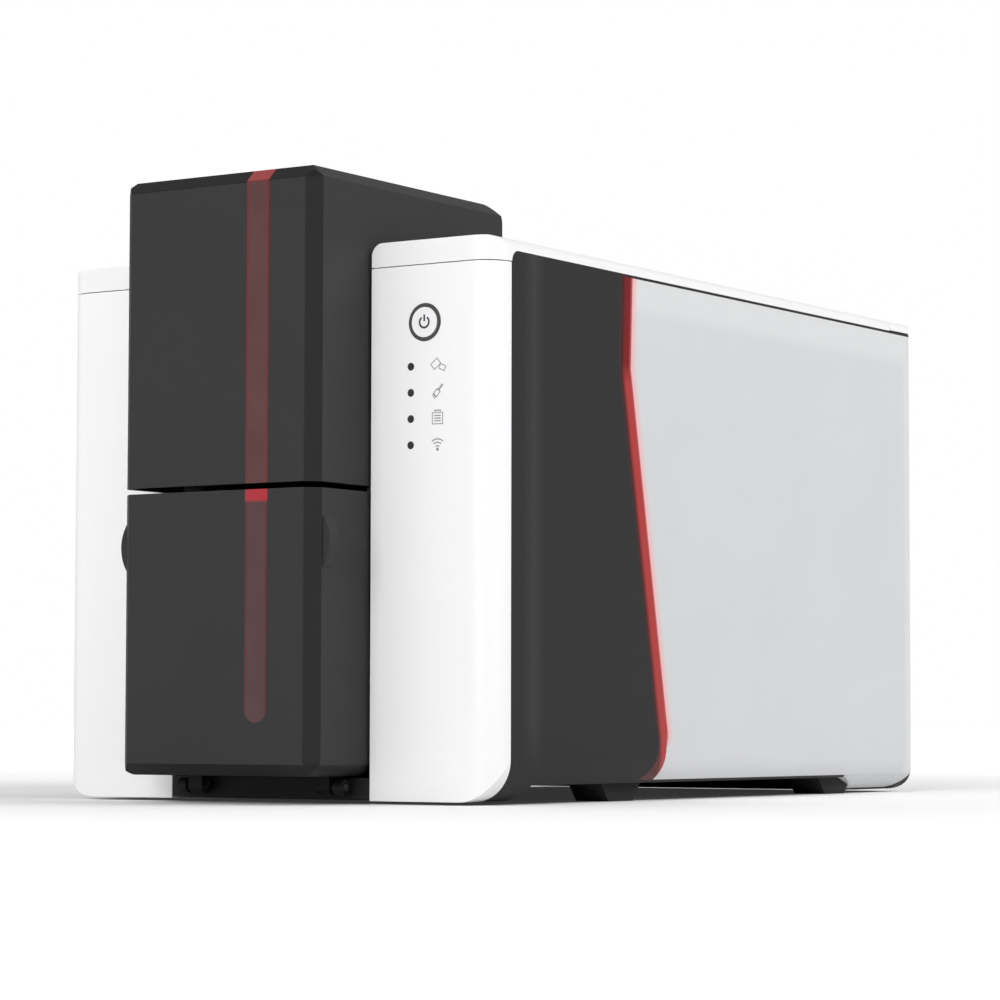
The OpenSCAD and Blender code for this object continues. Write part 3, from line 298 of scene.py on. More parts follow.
def inlay_painted_light(f):
    """Painted red light from the trim and a painted pale pink highlight along the front edge; painted
    highlights on the rounded rear and top.
    """
    z, behind = f.axis("Z"), behind_front_line(f)
    above_curl = above(z, 0.024, 0.003)
    # painted highlights on the rear and top, a painted pale pink highlight and painted red light from the
    # trim
    return [(shade(222, 223, 224), above(f.axis("Y"), CASING_BACK - 0.013, 0.002)),
            (shade(220, 221, 222), above(z, SIDE_TOP - 0.0135, 0.0025)),
            (shade(236, 186, 188), below(behind, 0.0101, 0.0017) * above_curl),
            (shade(172, 60, 60), below(behind, 0.0075, 0.0003) * above_curl)]


print("masks for:", tower_painted_shade.__name__, shell_painted_light_and_grey.__name__, inlay_painted_light.__name__)

# %% The plastics
tower_black = moulded("tower_black", shade(47, 47, 48), 0.58, Specular_IOR_Level=0.28,
                      painted=tower_painted_shade)
shell_black = moulded("shell_black", shade(33, 33, 34), 0.56, Specular_IOR_Level=0.28,
                      painted=shell_painted_light_and_grey)
base_black = moulded("base_black", shade(28, 28, 29), 0.55, grain=1100, Specular_IOR_Level=0.3)
polished = dict(grain=600, depth=0.000003, mottle=0.03, tint=0.006)
cover_white = moulded("cover_white", shade(246, 246, 247), 0.3, **polished)
front_white = moulded("front_white", shade(248, 248, 249), 0.26, **polished)
inlay_grey = moulded("inlay_grey", INLAY_GREY, 0.4, grain=800, depth=0.00001, tint=0.02,
                     painted=inlay_painted_light)
works_black = moulded("works_black", shade(38, 38, 40), 0.5, grain=900)
cassette_grey = moulded("cassette_grey", shade(112, 116, 120), 0.45, grain=900)
nylon_white = moulded("nylon_white", shade(226, 222, 208), 0.4, grain=900, depth=0.00001)
gauge_green = moulded("gauge_green", shade(60, 150, 96), 0.4, grain=900)
button_white = moulded("button_white", shade(244, 244, 245), 0.28, grain=700, depth=0.000005, tint=0.01)
ring_grey = moulded("ring_grey", shade(72, 72, 74), 0.3, grain=900, depth=0.000008)
fan_black = moulded("fan_black", shade(30, 30, 31), 0.42, grain=1000)
print("materials so far:", len(bpy.data.materials))

# %% [markdown]
# ## Tinted clear plastic
#
# The sight window is a strip of smoked red plastic over a dark slot, and the trim in the
# side shells is a brighter red one. Light goes in, is tinted and comes back, so a thin
# clear coat over a soft red body reads better than real refraction, which needs a thick piece and
# a long render.

# %% Tinted clear plastic
window_low, window_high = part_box("feeder_window")
WINDOW_MIDDLE, WINDOW_HALF = (window_high[0] + window_low[0]) / 2, (window_high[0] - window_low[0]) / 2


def sight_window(name, colour, deep, edge, lit, lit_from, lit_to):
    """A window strip: redder along both edges, and lit where nothing dark lies behind it."""
    f = Finish(name, Roughness=0.14, Coat_Roughness=0.05, Coat_Weight=0.4, Specular_IOR_Level=0.35)
    from_middle = f.unsigned(f.axis("X") - WINDOW_MIDDLE)
    wander = f.grain(60, 2.0)
    body = f.blend(f.ramp(wander, 0.3, 0.7), deep, colour)
    edged = f.blend(f.ramp(from_middle, WINDOW_HALF * 0.72, WINDOW_HALF * 0.9), body, edge)
    f.feed(Base_Color=f.blend(f.ramp(f.axis("Z"), lit_from, lit_to), edged, lit),
           Roughness=f.ramp(wander, 0.3, 0.7, 0.14, 0.2), Normal=f.bump(f.grain(400, 1.0), 0.000004))
    return f.material


window_red = sight_window("window_red", shade(92, 58, 58), shade(86, 54, 55),
                          shade(108, 40, 42), shade(150, 22, 24), 0.2338, 0.2352)
door_window_red = sight_window("door_window_red", shade(84, 58, 58), shade(80, 55, 56),
                               shade(88, 42, 42), shade(168, 44, 54), 0.1128, 0.1142)
print("the window strip is", round(WINDOW_HALF * 2000, 1), "mm wide")

# %% [markdown]
# ### The red trim
#
# The trim leans: its front edge lies a little deeper and is in shade, its rear edge catches the
# light, and above the kink the whole strip turns away. A point's distance behind the trim's front
# line gives both, worked out from the height.

# %% Trim
trim = Finish("trim_red", Roughness=0.3, Coat_Roughness=0.1, Coat_Weight=0.05, Specular_IOR_Level=0.2)
to_rear = trim.ramp(behind_front_line(trim), 0.0002, 0.0028)
lower_red = trim.blend(to_rear, shade(84, 20, 22), shade(176, 56, 54))
upper_red = trim.blend(to_rear, shade(66, 12, 14), shade(122, 16, 20))
trim.feed(Base_Color=trim.blend(above(trim.axis("Z"), 0.168, 0.004), lower_red, upper_red),
          Roughness=trim.ramp(trim.grain(80), 0.3, 0.7, 0.18, 0.26),
          Normal=trim.bump(trim.grain(500, 1.0), 0.000004))
trim_red = trim.material
print("the trim's reds change at a height of", round(TRIM_KINK[0] * 1000), "mm")

# %% [markdown]
# ## Metals, rubber and the rest
#
# Turned shafts carry fine rings round their axis, rolled sheet has grain along one direction.
# Both are noise that is stretched: a Mapping node squeezes the coordinates along one axis, and
# the same method serves steel, brass and the head's aluminium.

# %% Metals
def metal(name, colour, roughness, stretch=(1, 1, 1), scale=900.0, depth=0.000006):
    """Bare metal with grain; stretch is how much faster the grain changes along each axis."""
    f = Finish(name, Metallic=1.0, Roughness=roughness)
    at = f.node("Mapping", None, {"Vector": f.place(), "Scale": stretch})
    fine = f.grain(scale, 2.0, 0.5, at)
    slow = f.grain(35, 2.0)
    dull = tuple(c * 0.86 for c in colour[:3]) + (1,)
    f.feed(Base_Color=f.blend(f.ramp(slow, 0.3, 0.7), dull, colour),
           Roughness=f.ramp(fine + 0.5 * slow, 0.45, 1.0, roughness - 0.06, roughness + 0.1),
           Normal=f.bump(fine, depth))
    return f.material


turned_steel = metal("turned_steel", shade(196, 198, 200), 0.24, (1, 0.1, 0.1))
frame_steel = metal("frame_steel", shade(176, 182, 188), 0.36, (1, 0.08, 1), 500)
spring_steel = metal("spring_steel", shade(170, 172, 176), 0.3, (1, 1, 0.1))
brass = metal("brass", shade(206, 168, 96), 0.3, (1, 0.2, 0.2))
head_metal = metal("head_metal", shade(190, 192, 194), 0.38, (0.1, 1, 1), 700)
motor_steel = metal("motor_steel", shade(120, 122, 126), 0.42, (1, 0.1, 1), 500)
socket_metal = metal("socket_metal", shade(188, 190, 192), 0.28, (1, 1, 0.2))
print("the shafts' grain changes", round(1 / 0.1), "times slower along y and z")


# %% Rubber
def rubber(name, colour, roughness, rings=(1, 1, 1)):
    """Matt rubber; a ground roller has fine rings round its axis."""
    f = Finish(name, Roughness=roughness)
    at = f.node("Mapping", None, {"Vector": f.place(), "Scale": rings})
    fine = f.grain(1400, 3.0, 0.6, at)
    dusty = tuple(min(1, c * 1.7 + 0.004) for c in colour[:3]) + (1,)
    f.feed(Base_Color=f.blend(f.ramp(f.grain(90, 3.0), 0.52, 0.8, 0, 0.5), colour, dusty),
           Roughness=f.ramp(fine, 0.3, 0.7, roughness - 0.08, roughness + 0.08),
           Normal=f.bump(fine, 0.00003))
    return f.material


foot_rubber = rubber("foot_rubber", shade(24, 24, 24), 0.8)
roller_rubber = rubber("roller_rubber", shade(34, 34, 36), 0.7, (1, 0.1, 0.1))
belt_rubber = rubber("belt_rubber", shade(28, 28, 28), 0.75)
cleaner_blue = rubber("cleaner_blue", shade(70, 128, 176), 0.5, (0.4, 1, 1))
print("rubbers:", foot_rubber.name, roller_rubber.name, belt_rubber.name, cleaner_blue.name)

# %% [markdown]
# ## Ribbon
#
# The ribbon is film with panels of coloured ink, one set for each card. Wound up, a roll shows
# thin rings on its ends: the distance from the roll's axis is counted in turns, and the fraction
# of a turn gives them. Drawn off the roll, the film shows a panel beside the next; the same
# fraction, of the place along the printer, cuts it into a dark and a red one.

# %% Ribbon
RINGS, PANELS = 900, 40  # to the metre


def wound(name, axis_y, axis_z, ink, lighter):
    """A wound roll: rings on its ends, counted by the distance from its axis (metres)."""
    f = Finish(name, Roughness=0.32)
    along, up = f.axis("Y") - axis_y, f.axis("Z") - axis_z
    reach = f.node("Math", dict(operation="SQRT"), {0: along * along + up * up})
    turn = f.node("Math", dict(operation="FRACT"), {0: reach * RINGS})
    f.feed(Base_Color=f.blend(f.ramp(turn, 0.35, 0.5), ink, lighter),
           Roughness=f.ramp(f.grain(300), 0.3, 0.7, 0.25, 0.4),
           Normal=f.bump(turn, 0.00002))
    return f.material


def spool_axis(node):
    low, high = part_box(node)
    return (low[1] + high[1]) / 2, (low[2] + high[2]) / 2


supply_roll = wound("supply_roll", *spool_axis("supply_spool"), shade(150, 40, 92), shade(196, 160, 40))
used_roll = wound("used_roll", *spool_axis("take_up_spool"), shade(38, 38, 44), shade(60, 96, 150))
film = Finish("ribbon_film_ink", Roughness=0.2)
panel = film.axis("Y") * PANELS
within_panel = panel - film.node("Math", dict(operation="FLOOR"), {0: panel})
film.feed(Base_Color=film.blend(within_panel > 0.5, shade(24, 24, 30), shade(122, 30, 84)),
          Roughness=film.ramp(film.grain(120), 0.3, 0.7, 0.14, 0.28))
film_ink = film.material
print("a pair of panels is", 1000 / PANELS, "mm long")

# %% [markdown]
# ## Board
#
# The circuit board is green lacquer over copper tracks. The tracks are a stepped pattern: a
# Voronoi texture measured in city blocks gives right-angled cells whose edges look like tracks.

# %% Board
CELLS = 260.0  # to the metre
board = Finish("board_green", Roughness=0.3)
cell = board.node("TexVoronoi", dict(distance="MANHATTAN", feature="F1"),
                  {"Vector": board.place(), "Scale": CELLS}, output="Distance")
track = board.ramp(cell, 0.42, 0.46)
board.feed(Base_Color=board.blend(track, shade(22, 84, 52), shade(46, 122, 74)),
           Roughness=board.ramp(board.grain(200), 0.3, 0.7, 0.24, 0.4),
           Normal=board.bump(track, 0.00002))
board_green = board.material
print("a cell of the tracks is about", round(1000 / CELLS, 1), "mm wide")

# %% Give each piece of the frame its finish
wears = {
    tower_black: ["feeder_cover", "hopper_door"],
    shell_black: ["side_shell_left", "side_shell_right"],
    base_black: ["base_tray", "rear_panel"],
    cover_white: ["lid", "rear_cap"],
    front_white: ["front_panel_left", "front_panel_right"],
    inlay_grey: ["side_inlay_left", "side_inlay_right"],
    trim_red: ["side_trim_left", "side_trim_right"],
    window_red: ["feeder_window"],
    door_window_red: ["door_window"],
    works_black: ["card_magazine", "card_pusher", "output_tray", "card_deck", "status_lights"],
    button_white: ["power_button"],
    ring_grey: ["light_ring"],
    cassette_grey: ["ribbon_cassette"],
    nylon_white: ["roller_bushes", "platen_gear"],
    gauge_green: ["gauge_slide"],
    fan_black: ["fan_housing", "fan_rotor"],
    turned_steel: ["feed_shaft", "front_shaft", "platen_shaft", "rear_shaft", "frame_bars",
                   "lid_hinge_pins", "cover_hinge_pin", "door_hinge_pin"],
    frame_steel: ["frame_left", "frame_right", "head_bracket"],
    spring_steel: ["catch_clips"],
    brass: ["motor_pinion", "ribbon_pinion"],
    head_metal: ["print_head"],
    motor_steel: ["drive_motor", "ribbon_motor"],
    socket_metal: ["rear_sockets"],
    foot_rubber: ["rubber_feet"],
    roller_rubber: ["feed_roller", "front_roller", "platen_roller", "rear_roller",
                    "front_pinch_roller", "rear_pinch_roller"],
    belt_rubber: ["drive_belt"],
    cleaner_blue: ["cleaning_roller"],
    supply_roll: ["supply_spool"],
    used_roll: ["take_up_spool"],
    film_ink: ["ribbon_film"],
    board_green: ["main_board"],
}
for finish, names in wears.items():
    for name in names:
        for place in nodes[name].material_slots:
            place.material = finish
left_plain = set(nodes) - {n for names in wears.values() for n in names}
print("finishes:", len(wears), "plain nodes left:", sorted(left_plain))

# %% [markdown]
# ## Small pieces
#
# Screws, springs, clips, contacts and printed signs are too small or too fine for the frame, so
# they are modelled here. Each starts as a few vertices and gets its form from bmesh operators. A
# piece is placed by its own mesh, so that its object stays at the origin, and it names the body
# that it moves with. Their sizes are in millimetres.

# %% From a bmesh to a piece
MM = 0.001


def box_mm(node):
    """A node's two corners in millimetres."""
    return [[c / MM for c in corner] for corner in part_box(node)]


def middle_mm(node):
    """The middle of a node's box in millimetres."""
    return [(low + high) / 2 / MM for low, high in zip(*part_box(node))]


def keep(name, bm, finish, body):
    """Makes a piece of a bmesh, rounds its shading and hands it to a body."""
    bmesh.ops.remove_doubles(bm, verts=bm.verts, dist=0.001 * MM)
    bmesh.ops.recalc_face_normals(bm, faces=bm.faces)
    mesh = bpy.data.meshes.new(name)
    bm.to_mesh(mesh)
    bm.free()
    mesh.materials.append(finish)
    mesh.shade_smooth()
    mesh.set_sharp_from_angle(angle=math.radians(32))
    made = bpy.data.objects.new(name, mesh)
    scene.collection.objects.link(made)
    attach(made, body)
    print(name, "rides on", body, "with", len(mesh.polygons), "faces")


def turned_to(axis, place):
    """The matrix that carries a shape drawn along +Z to a place (mm), to face along an axis."""
    return Matrix.Translation(Vector(place) * MM) @ Vector(axis).to_track_quat("Z", "Y").to_matrix().to_4x4()


def stamp(bm, draw, matrix):
    """Draws a shape at the origin, carries it to its place and adds it to a bmesh."""
    one = bmesh.new()
    draw(one)
    bmesh.ops.transform(one, matrix=matrix, verts=one.verts)
    passed_on = bpy.data.meshes.new("passed_on")
    one.to_mesh(passed_on)
    one.free()
    bm.from_mesh(passed_on)
    bpy.data.meshes.remove(passed_on)


# %% [markdown]
# ### Signs on the front
#
# The power sign and the four small pictures are printed in thin lines. A closed line is a face,
# inset by the line's width, whose middle is deleted; an arc is one short edge, spun round its
# centre. The finished flat drawing is given a hair's thickness, so that it stands on the plastic
# without flicker. The pictures are plain ones: two cards, a brush, a card being printed, and the
# fan of a wireless link.

# %% Flat drawings, in mm, seen from the front
LINE = 0.5
PRINT_THICKNESS = 0.06


def outline(bm, corners, line=LINE):
    """A closed line of even width inside the corners (x, z)."""
    face = bm.faces.new([bm.verts.new((x, 0, z)) for x, z in corners])
    face.normal_update()
    bmesh.ops.inset_region(bm, faces=[face], thickness=line, use_boundary=True)
    bmesh.ops.delete(bm, geom=[face], context="FACES")


def filled(bm, corners):
    """A solid patch."""
    bm.faces.new([bm.verts.new((x, 0, z)) for x, z in corners])


def arc(bm, radius, start, sweep, line=LINE, middle=(0, 0)):
    """A bent line round a point; angles in degrees from the right, going up."""
    at = Matrix.Rotation(-math.radians(start), 3, "Y")
    ends = [bm.verts.new(at @ Vector((radius + way * line / 2, 0, 0)) + Vector((middle[0], 0, middle[1])))
            for way in (-1, 1)]
    bmesh.ops.spin(bm, geom=[*ends, bm.edges.new(ends)], cent=(middle[0], 0, middle[1]), axis=(0, -1, 0),
                   angle=math.radians(sweep), steps=max(6, round(sweep / 10)))


def box_corners(x, z, width, height, turn=0.0):
    """Corners of a rectangle round (x, z), turned by some degrees."""
    c, s = math.cos(math.radians(turn)), math.sin(math.radians(turn))
    half = [(a * width / 2, b * height / 2) for a, b in ((-1, -1), (1, -1), (1, 1), (-1, 1))]
    return [(x + a * c - b * s, z + a * s + b * c) for a, b in half]


def printed(name, draw, finish, body, x, y, z):
    """Draws a sign and prints it at a place (mm) on a face that looks to the front."""
    bm = bmesh.new()
    draw(bm)
    bmesh.ops.scale(bm, vec=(MM, MM, MM), verts=bm.verts)
    bmesh.ops.translate(bm, vec=Vector((x, y, z)) * MM, verts=bm.verts)
    bmesh.ops.solidify(bm, geom=bm.faces[:], thickness=PRINT_THICKNESS * MM)
    foremost = min(v.co.y for v in bm.verts)
    bmesh.ops.translate(bm, vec=(0, (y - PRINT_THICKNESS) * MM - foremost, 0), verts=bm.verts)
    keep(name, bm, finish, body)


print("a printed line is", LINE, "mm wide")

# %% The power sign and the four pictures
def power_sign(bm):
    arc(bm, 2.1, 125, 290, line=0.75)
    filled(bm, box_corners(0, 1.6, 0.75, 2.6))


def two_cards(bm):
    outline(bm, box_corners(-0.9, 0.5, 4.0, 2.9, 38))
    outline(bm, box_corners(2.1, -0.9, 3.0, 2.2, -24))


def brush(bm):
    filled(bm, box_corners(1.3, 1.5, 3.0, 0.8, 50))
    outline(bm, box_corners(-0.4, -0.5, 2.8, 2.2, 50))
    for reach in (-0.7, 0.0, 0.7):
        filled(bm, box_corners(-1.5 + reach * 0.62, -1.7 - reach * 0.74, 1.4, 0.35, 50))


def printing(bm):
    outline(bm, box_corners(0, -0.2, 5.0, 4.6))
    for level in (-1.2, -0.2, 0.8):
        filled(bm, box_corners(0, level, 3.0, 0.45))
    filled(bm, box_corners(0, 2.7, 3.2, 0.5))


def wireless(bm):
    for reach in (1.3, 2.6, 3.9):
        arc(bm, reach, 50, 80, middle=(0, -2.0))
    arc(bm, 0.3, 0, 360, line=0.6, middle=(0, -2.0))


sign_dark = moulded("sign_dark", shade(62, 62, 64), 0.4, grain=900, depth=0.000004)
sign_grey = moulded("sign_grey", shade(158, 158, 160), 0.4, grain=900, depth=0.000004)

# %% Print them on the button and beside the lights
button_middle, button_front = middle_mm("power_button"), box_mm("power_button")[0][1]
printed("power_sign", power_sign, sign_dark, "power_button",
        button_middle[0], button_front, button_middle[2])

lights_low, lights_high = box_mm("status_lights")
light_radius = (lights_high[0] - lights_low[0]) / 2
front_y = box_mm("front_panel_right")[0][1]
PICTURE_BESIDE = 5.9
pictures = {"cards_sign": two_cards, "brush_sign": brush, "printing_sign": printing,
            "wireless_sign": wireless}
light_step = (lights_high[2] - lights_low[2] - 2 * light_radius) / (len(pictures) - 1)
for turn, (name, draw) in enumerate(pictures.items()):
    printed(name, draw, sign_grey, "casing", button_middle[0] + PICTURE_BESIDE,
            front_y, lights_high[2] - light_radius - turn * light_step)

# %% [markdown]
# ### Screws
#
# A pan head with a cross recess: the recess is an outline with twelve corners, each side split
# in two so that it has as many points as the round rim, and the two loops are bridged. Pushing
# the inner loop down and closing it makes the recess, and pulling the outer one down in two
# steps makes the head's rounded side.

# %% One screw head, drawn along +Z with its underside at the origin
HEAD_HEIGHT = 1.3
FACE_SHARE = 0.78  # of the head's radius: its flat face


def screw_head(bm, radius, height=HEAD_HEIGHT):
    arm, half = radius * 0.56, radius * 0.15
    quarter = [(arm, -half), (arm, half), (half, half)]
    turns = [Matrix.Rotation(math.radians(90 * i), 3, "Z") for i in range(4)]
    cross = [bm.verts.new(turn @ Vector((x, y, height)) * MM) for turn in turns for x, y in quarter]
    sides = [bm.edges.new((cross[i - 1], cross[i])) for i in range(len(cross))]
    split = bmesh.ops.subdivide_edges(bm, edges=sides, cuts=1)
    hole = [e for e in split["geom"] if isinstance(e, bmesh.types.BMEdge)]
    rim = bmesh.ops.create_circle(bm, segments=24, radius=radius * FACE_SHARE * MM)["verts"]
    bmesh.ops.translate(bm, vec=(0, 0, height * MM), verts=rim)
    rim_edges = list({e for v in rim for e in v.link_edges})
    bmesh.ops.bridge_loops(bm, edges=hole + rim_edges)
    for edges, grow, drop in ((hole, 0.8, -0.7), (rim_edges, 1 / FACE_SHARE, -0.4)):
        moved = bmesh.ops.extrude_edge_only(bm, edges=edges)["geom"]
        points = [v for v in moved if isinstance(v, bmesh.types.BMVert)]
        bmesh.ops.scale(bm, vec=(grow, grow, 1), verts=points)
        bmesh.ops.translate(bm, vec=(0, 0, drop * height * MM), verts=points)
        loop = [e for e in moved if isinstance(e, bmesh.types.BMEdge)]
        if edges is hole:
            bmesh.ops.contextual_create(bm, geom=loop)
        else:
            foot = bmesh.ops.extrude_edge_only(bm, edges=loop)["geom"]
            bmesh.ops.translate(bm, vec=(0, 0, -0.6 * height * MM),
                                verts=[v for v in foot if isinstance(v, bmesh.types.BMVert)])


screw_zinc = metal("screw_zinc", shade(150, 152, 156), 0.34, (1, 1, 1), 1200)
screw_black = metal("screw_black", shade(58, 58, 60), 0.4, (1, 1, 1), 1200)


def screws(name, places, axis, finish, radius=2.6):
    """Screw heads at some places (mm) that all face along one axis."""
    bm = bmesh.new()
    for place in places:
        stamp(bm, lambda head: screw_head(head, radius), turned_to(axis, place))
    keep(name, bm, finish, "casing")


def square(reach):
    """Four places round a middle."""
    return [(a * reach, b * reach) for a in (-1, 1) for b in (-1, 1)]


# %% Screws on the back and the motor
back_y = box_mm("rear_panel")[1][1] - HEAD_HEIGHT
fan_middle = middle_mm("fan_housing")
FAN_HOLES = 20.0
screws("fan_screws", [(fan_middle[0] + a, back_y, fan_middle[2] + b) for a, b in square(FAN_HOLES)],
       (0, 1, 0), screw_zinc)

PANEL_X, PANEL_HEIGHTS = 76, (56, 186)
screws("back_screws", [(side * PANEL_X, back_y, z) for side in (-1, 1) for z in PANEL_HEIGHTS],
       (0, 1, 0), screw_black)

frame_low, frame_high = box_mm("frame_right")
pinion_middle = middle_mm("motor_pinion")
MOTOR_HOLES = 15.5
screws("motor_screws", [(frame_high[0], pinion_middle[1] + a, pinion_middle[2] + b)
                        for a, b in square(MOTOR_HOLES)], (1, 0, 0), screw_zinc, radius=2.3)

# %% Screws in the frames' flanges and under the base
FLANGE_X, FLANGE_THICKNESS, FLANGE_PLACES = 33.5, 1.5, (8.25, 108.25)
for side, word in ((-1, "left"), (1, "right")):
    screws(f"flange_screws_{word}", [(side * FLANGE_X, y, frame_low[2] + FLANGE_THICKNESS)
                                     for y in FLANGE_PLACES], (0, 0, 1), screw_zinc)

BELLY_HEIGHT, BELLY_X, BELLY_PLACES = 7.2, 60, (-118, 122)
screws("base_screws", [(side * BELLY_X, y, BELLY_HEIGHT) for side in (-1, 1) for y in BELLY_PLACES],
       (0, 0, -1), screw_black, radius=3.0)

# %% [markdown]
# ### Springs and clips
#
# Two springs press the print head down on the card. A coil spring is a small circle, spun round an
# axis while it climbs: the spin operator moves a little further at each step for that. A curve
# with a bevel would do too, but it would have to be made a mesh. The clips that hold the
# shafts in their bushes are a small rectangle, spun through most of a turn and left open.

# %% Coil springs
def coil(bm, radius, wire, height, turns):
    """A spring of round wire; height is how far the wire's middle climbs (mm)."""
    steps = turns * 20
    ring = bmesh.ops.create_circle(bm, segments=8, radius=wire * MM)["verts"]
    bmesh.ops.rotate(bm, verts=ring, cent=(0, 0, 0), matrix=Matrix.Rotation(math.radians(90), 3, "X"))
    bmesh.ops.translate(bm, verts=ring, vec=(radius * MM, 0, 0))
    loop = list({e for v in ring for e in v.link_edges})
    swept = bmesh.ops.spin(bm, geom=ring + loop, cent=(0, 0, 0), axis=(0, 0, 1),
                           angle=math.radians(360 * turns), steps=steps,
                           dvec=(0, 0, height * MM / steps))
    bmesh.ops.contextual_create(bm, geom=loop)
    bmesh.ops.contextual_create(bm, geom=[e for e in swept["geom_last"] if isinstance(e, bmesh.types.BMEdge)])


spring_wire = metal("spring_wire", shade(168, 170, 174), 0.26, (1, 1, 1), 1400)
head_low, head_high = box_mm("print_head")
# between the top fin, a little below the block's top, and the plate under the lid
FIN_TOP, PLATE_UNDER = head_high[2] - 0.5, 196.0
SPRING_X, SPRING_BEHIND, SPRING_RADIUS, SPRING_WIRE = 19.0, 3.6, 2.9, 0.35
bm = bmesh.new()
for side in (-1, 1):
    stamp(bm, lambda spring: coil(spring, SPRING_RADIUS, SPRING_WIRE,
                                  PLATE_UNDER - FIN_TOP - 2 * SPRING_WIRE, 9),
          turned_to((0, 0, 1), (side * SPRING_X, head_low[1] + SPRING_BEHIND, FIN_TOP + SPRING_WIRE)))
keep("head_springs", bm, spring_wire, "lid")

# %% Clips on the ends of the shafts
def open_clip(bm, inner=2.95, outer=5.2, thick=0.8):
    """A flat ring with a gap, round the +Z axis (mm)."""
    corners = [(inner, 0), (outer, 0), (outer, thick), (inner, thick)]
    start = bm.faces.new([bm.verts.new((x * MM, 0, z * MM)) for x, z in corners])
    bmesh.ops.spin(bm, geom=[start, *start.edges, *start.verts], cent=(0, 0, 0), axis=(0, 0, 1),
                   angle=math.radians(300), steps=30)


CLIP_GAP = 0.3
clip_x = box_mm("roller_bushes")[0][0] - CLIP_GAP
for shaft, body in (("feed_shaft", "feed_roller"), ("front_shaft", "front_roller"),
                    ("platen_shaft", "platen"), ("rear_shaft", "rear_roller")):
    middle = middle_mm(shaft)
    bm = bmesh.new()
    stamp(bm, open_clip, turned_to((-1, 0, 0), (clip_x, middle[1], middle[2])))
    keep(f"{shaft}_clip", bm, spring_wire, body)

# %% [markdown]
# ### Contacts in the sockets
#
# Seen from behind, a socket isn't an empty box: the data socket has a white tongue, the network
# one a row of gilt springs under its roof, and the power one three pins. All are the same bar in
# other sizes, a cube that is stretched and bevelled.

# %% Contacts
gilt = metal("gilt", shade(224, 186, 104), 0.25, (1, 1, 0.2))
sockets_low, sockets_high = box_mm("rear_sockets")
board_top, socket_mouth = sockets_low[2], sockets_high[1]
socket_back = socket_mouth - 9.2
DATA_X, NETWORK_X, POWER_X = -50, -26, 14
CONTACT_STEP = 1.27


def contact(bm, x, z, width, height, short, rounding):
    """A bar from a socket's back to a little short of its mouth, its edges rounded (mm)."""
    size = Vector((width, socket_mouth - short - socket_back, height))
    middle = Vector((x, socket_back + size[1] / 2, board_top + z))
    made = bmesh.ops.create_cube(bm, size=1.0)["verts"]
    bmesh.ops.scale(bm, verts=made, vec=size * MM)
    bmesh.ops.translate(bm, verts=made, vec=middle * MM)
    bmesh.ops.bevel(bm, geom=list({e for v in made for e in v.link_edges}), offset=rounding * MM,
                    offset_type="OFFSET", segments=2, profile=0.5, affect="EDGES", material=-1)


tongue, springs, pins = (bmesh.new() for piece in range(3))
contact(tongue, DATA_X, 5.0, 5.4, 3.4, 1.4, 0.4)
for i in range(8):
    contact(springs, NETWORK_X + (i - 3.5) * CONTACT_STEP, 10.5, 0.5, 0.4, 2.2, 0.08)
for i in (-1, 0, 1):
    contact(pins, POWER_X + i * 3.6, 4.4, 1.6, 2.8, 1.2, 0.3)
keep("data_tongue", tongue, nylon_white, "casing")
keep("network_contacts", springs, gilt, "casing")
keep("power_pins", pins, gilt, "casing")

# %% [markdown]
# ## Table and light
#
# The printer stands on a white table that runs out into a white room. A wide plane with a pale
# matt finish takes the soft shadow under the printer, and further out it shines a little for the
# camera, so that no edge is seen against the white world. The light on the printer itself comes from
# a darker sky, weaker still from the right front, and from large soft lamps, so that a colour
# renders about as it is written.

# %% Table
TABLE_REACH = 14
table_finish = Finish("table_white", Roughness=0.9, Emission_Strength=1.0)
paleness = table_finish.ramp(table_finish.grain(3, 1.0), 0.2, 0.8, 0.97, 0.99)
seen = table_finish.node("LightPath", output="Is Camera Ray")
away = table_finish.node("VectorMath", dict(operation="LENGTH"), {0: table_finish.place()}, output="Value")
shine = seen * table_finish.ramp(away, 0.35, 1.6, 0.03, 0.6)
pale, lit = (table_finish.node("CombineColor", None, {0: level, 1: level, 2: level})
             for level in (paleness, shine))
table_finish.feed(Base_Color=pale, Emission_Color=lit)
bm = bmesh.new()
bmesh.ops.create_grid(bm, x_segments=1, y_segments=1, size=TABLE_REACH)
table_mesh = bpy.data.meshes.new("table")
bm.to_mesh(table_mesh)
bm.free()
table_mesh.materials.append(table_finish.material)
table_top = bpy.data.objects.new("table", table_mesh)
scene.collection.objects.link(table_top)
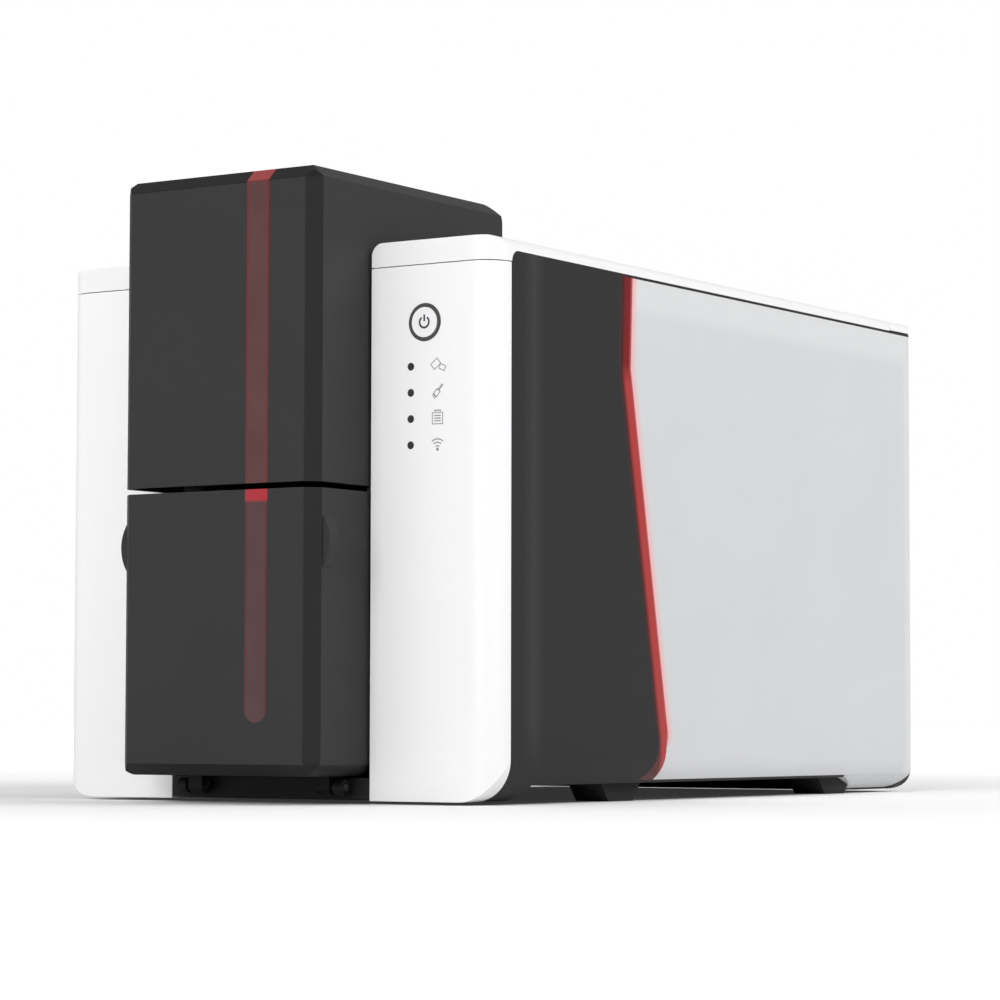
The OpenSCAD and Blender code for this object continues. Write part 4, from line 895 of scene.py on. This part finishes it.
print("the table reaches", TABLE_REACH, "m each way")

# %% World
class Sky(Finish):
    """The room's light, written with the same helpers as a finish."""

    def __init__(self, name):
        world = bpy.data.worlds.new(name)
        world.use_nodes = True
        scene.world, self.tree = world, world.node_tree
        self.shader = self.tree.nodes["Background"]


LESS_FROM = Vector((0.76, -0.53, 0.37))  # the side from which the room gives least light
ROOM, ROOM_IN_GLOSS = 0.72, -0.2
sky = Sky("room")
facing = sky.node("VectorMath", dict(operation="DOT_PRODUCT"), {
    0: sky.node("TexCoord", output="Generated"), 1: LESS_FROM}, output="Value")
soft_side = sky.ramp(facing, -0.4, 1.0, 1.0, 0.3)
camera_ray, glossy_ray, clear_ray = (
    sky.node("LightPath", output=ray) for ray in ("Is Camera Ray", "Is Glossy Ray", "Is Transmission Ray"))
shown = sky.node("Math", dict(operation="MAXIMUM"), {0: camera_ray, 1: clear_ray})
level = (glossy_ray * ROOM_IN_GLOSS + ROOM) * soft_side
sky.feed(Strength=level + shown * (1.0 - level), Color=(1, 1, 1, 1))
print("the room gives", ROOM, "of white, and a mirror sees", round(ROOM + ROOM_IN_GLOSS, 2))


# %% Lamps
def lamp(name, place, target, size, watts):
    """A square soft lamp that faces a target; size in metres."""
    data = bpy.data.lights.new(name, "AREA")
    data.shape, data.size, data.energy = "SQUARE", size, watts
    made = bpy.data.objects.new(name, data)
    made.location = place
    made.rotation_euler = (Vector(target) - Vector(place)).to_track_quat("-Z", "Y").to_euler()
    scene.collection.objects.link(made)
    print(name, "gives", watts, "W")


lamp("lamp_right", (2.2, 0.8, 1.9), (0, 0, 0.1), 1.6, 41)
lamp("lamp_top", (0.0, 0.2, 2.4), (0, 0, 0.2), 1.6, 5)
lamp("lamp_front", (0.35, -2.5, 1.0), (0, 0, 0.1), 1.4, 31)

# %% [markdown]
# ## Finish
#
# Last, the view settings: Standard shows a colour as it is written.

# %% View
scene.view_settings.view_transform = "Standard"
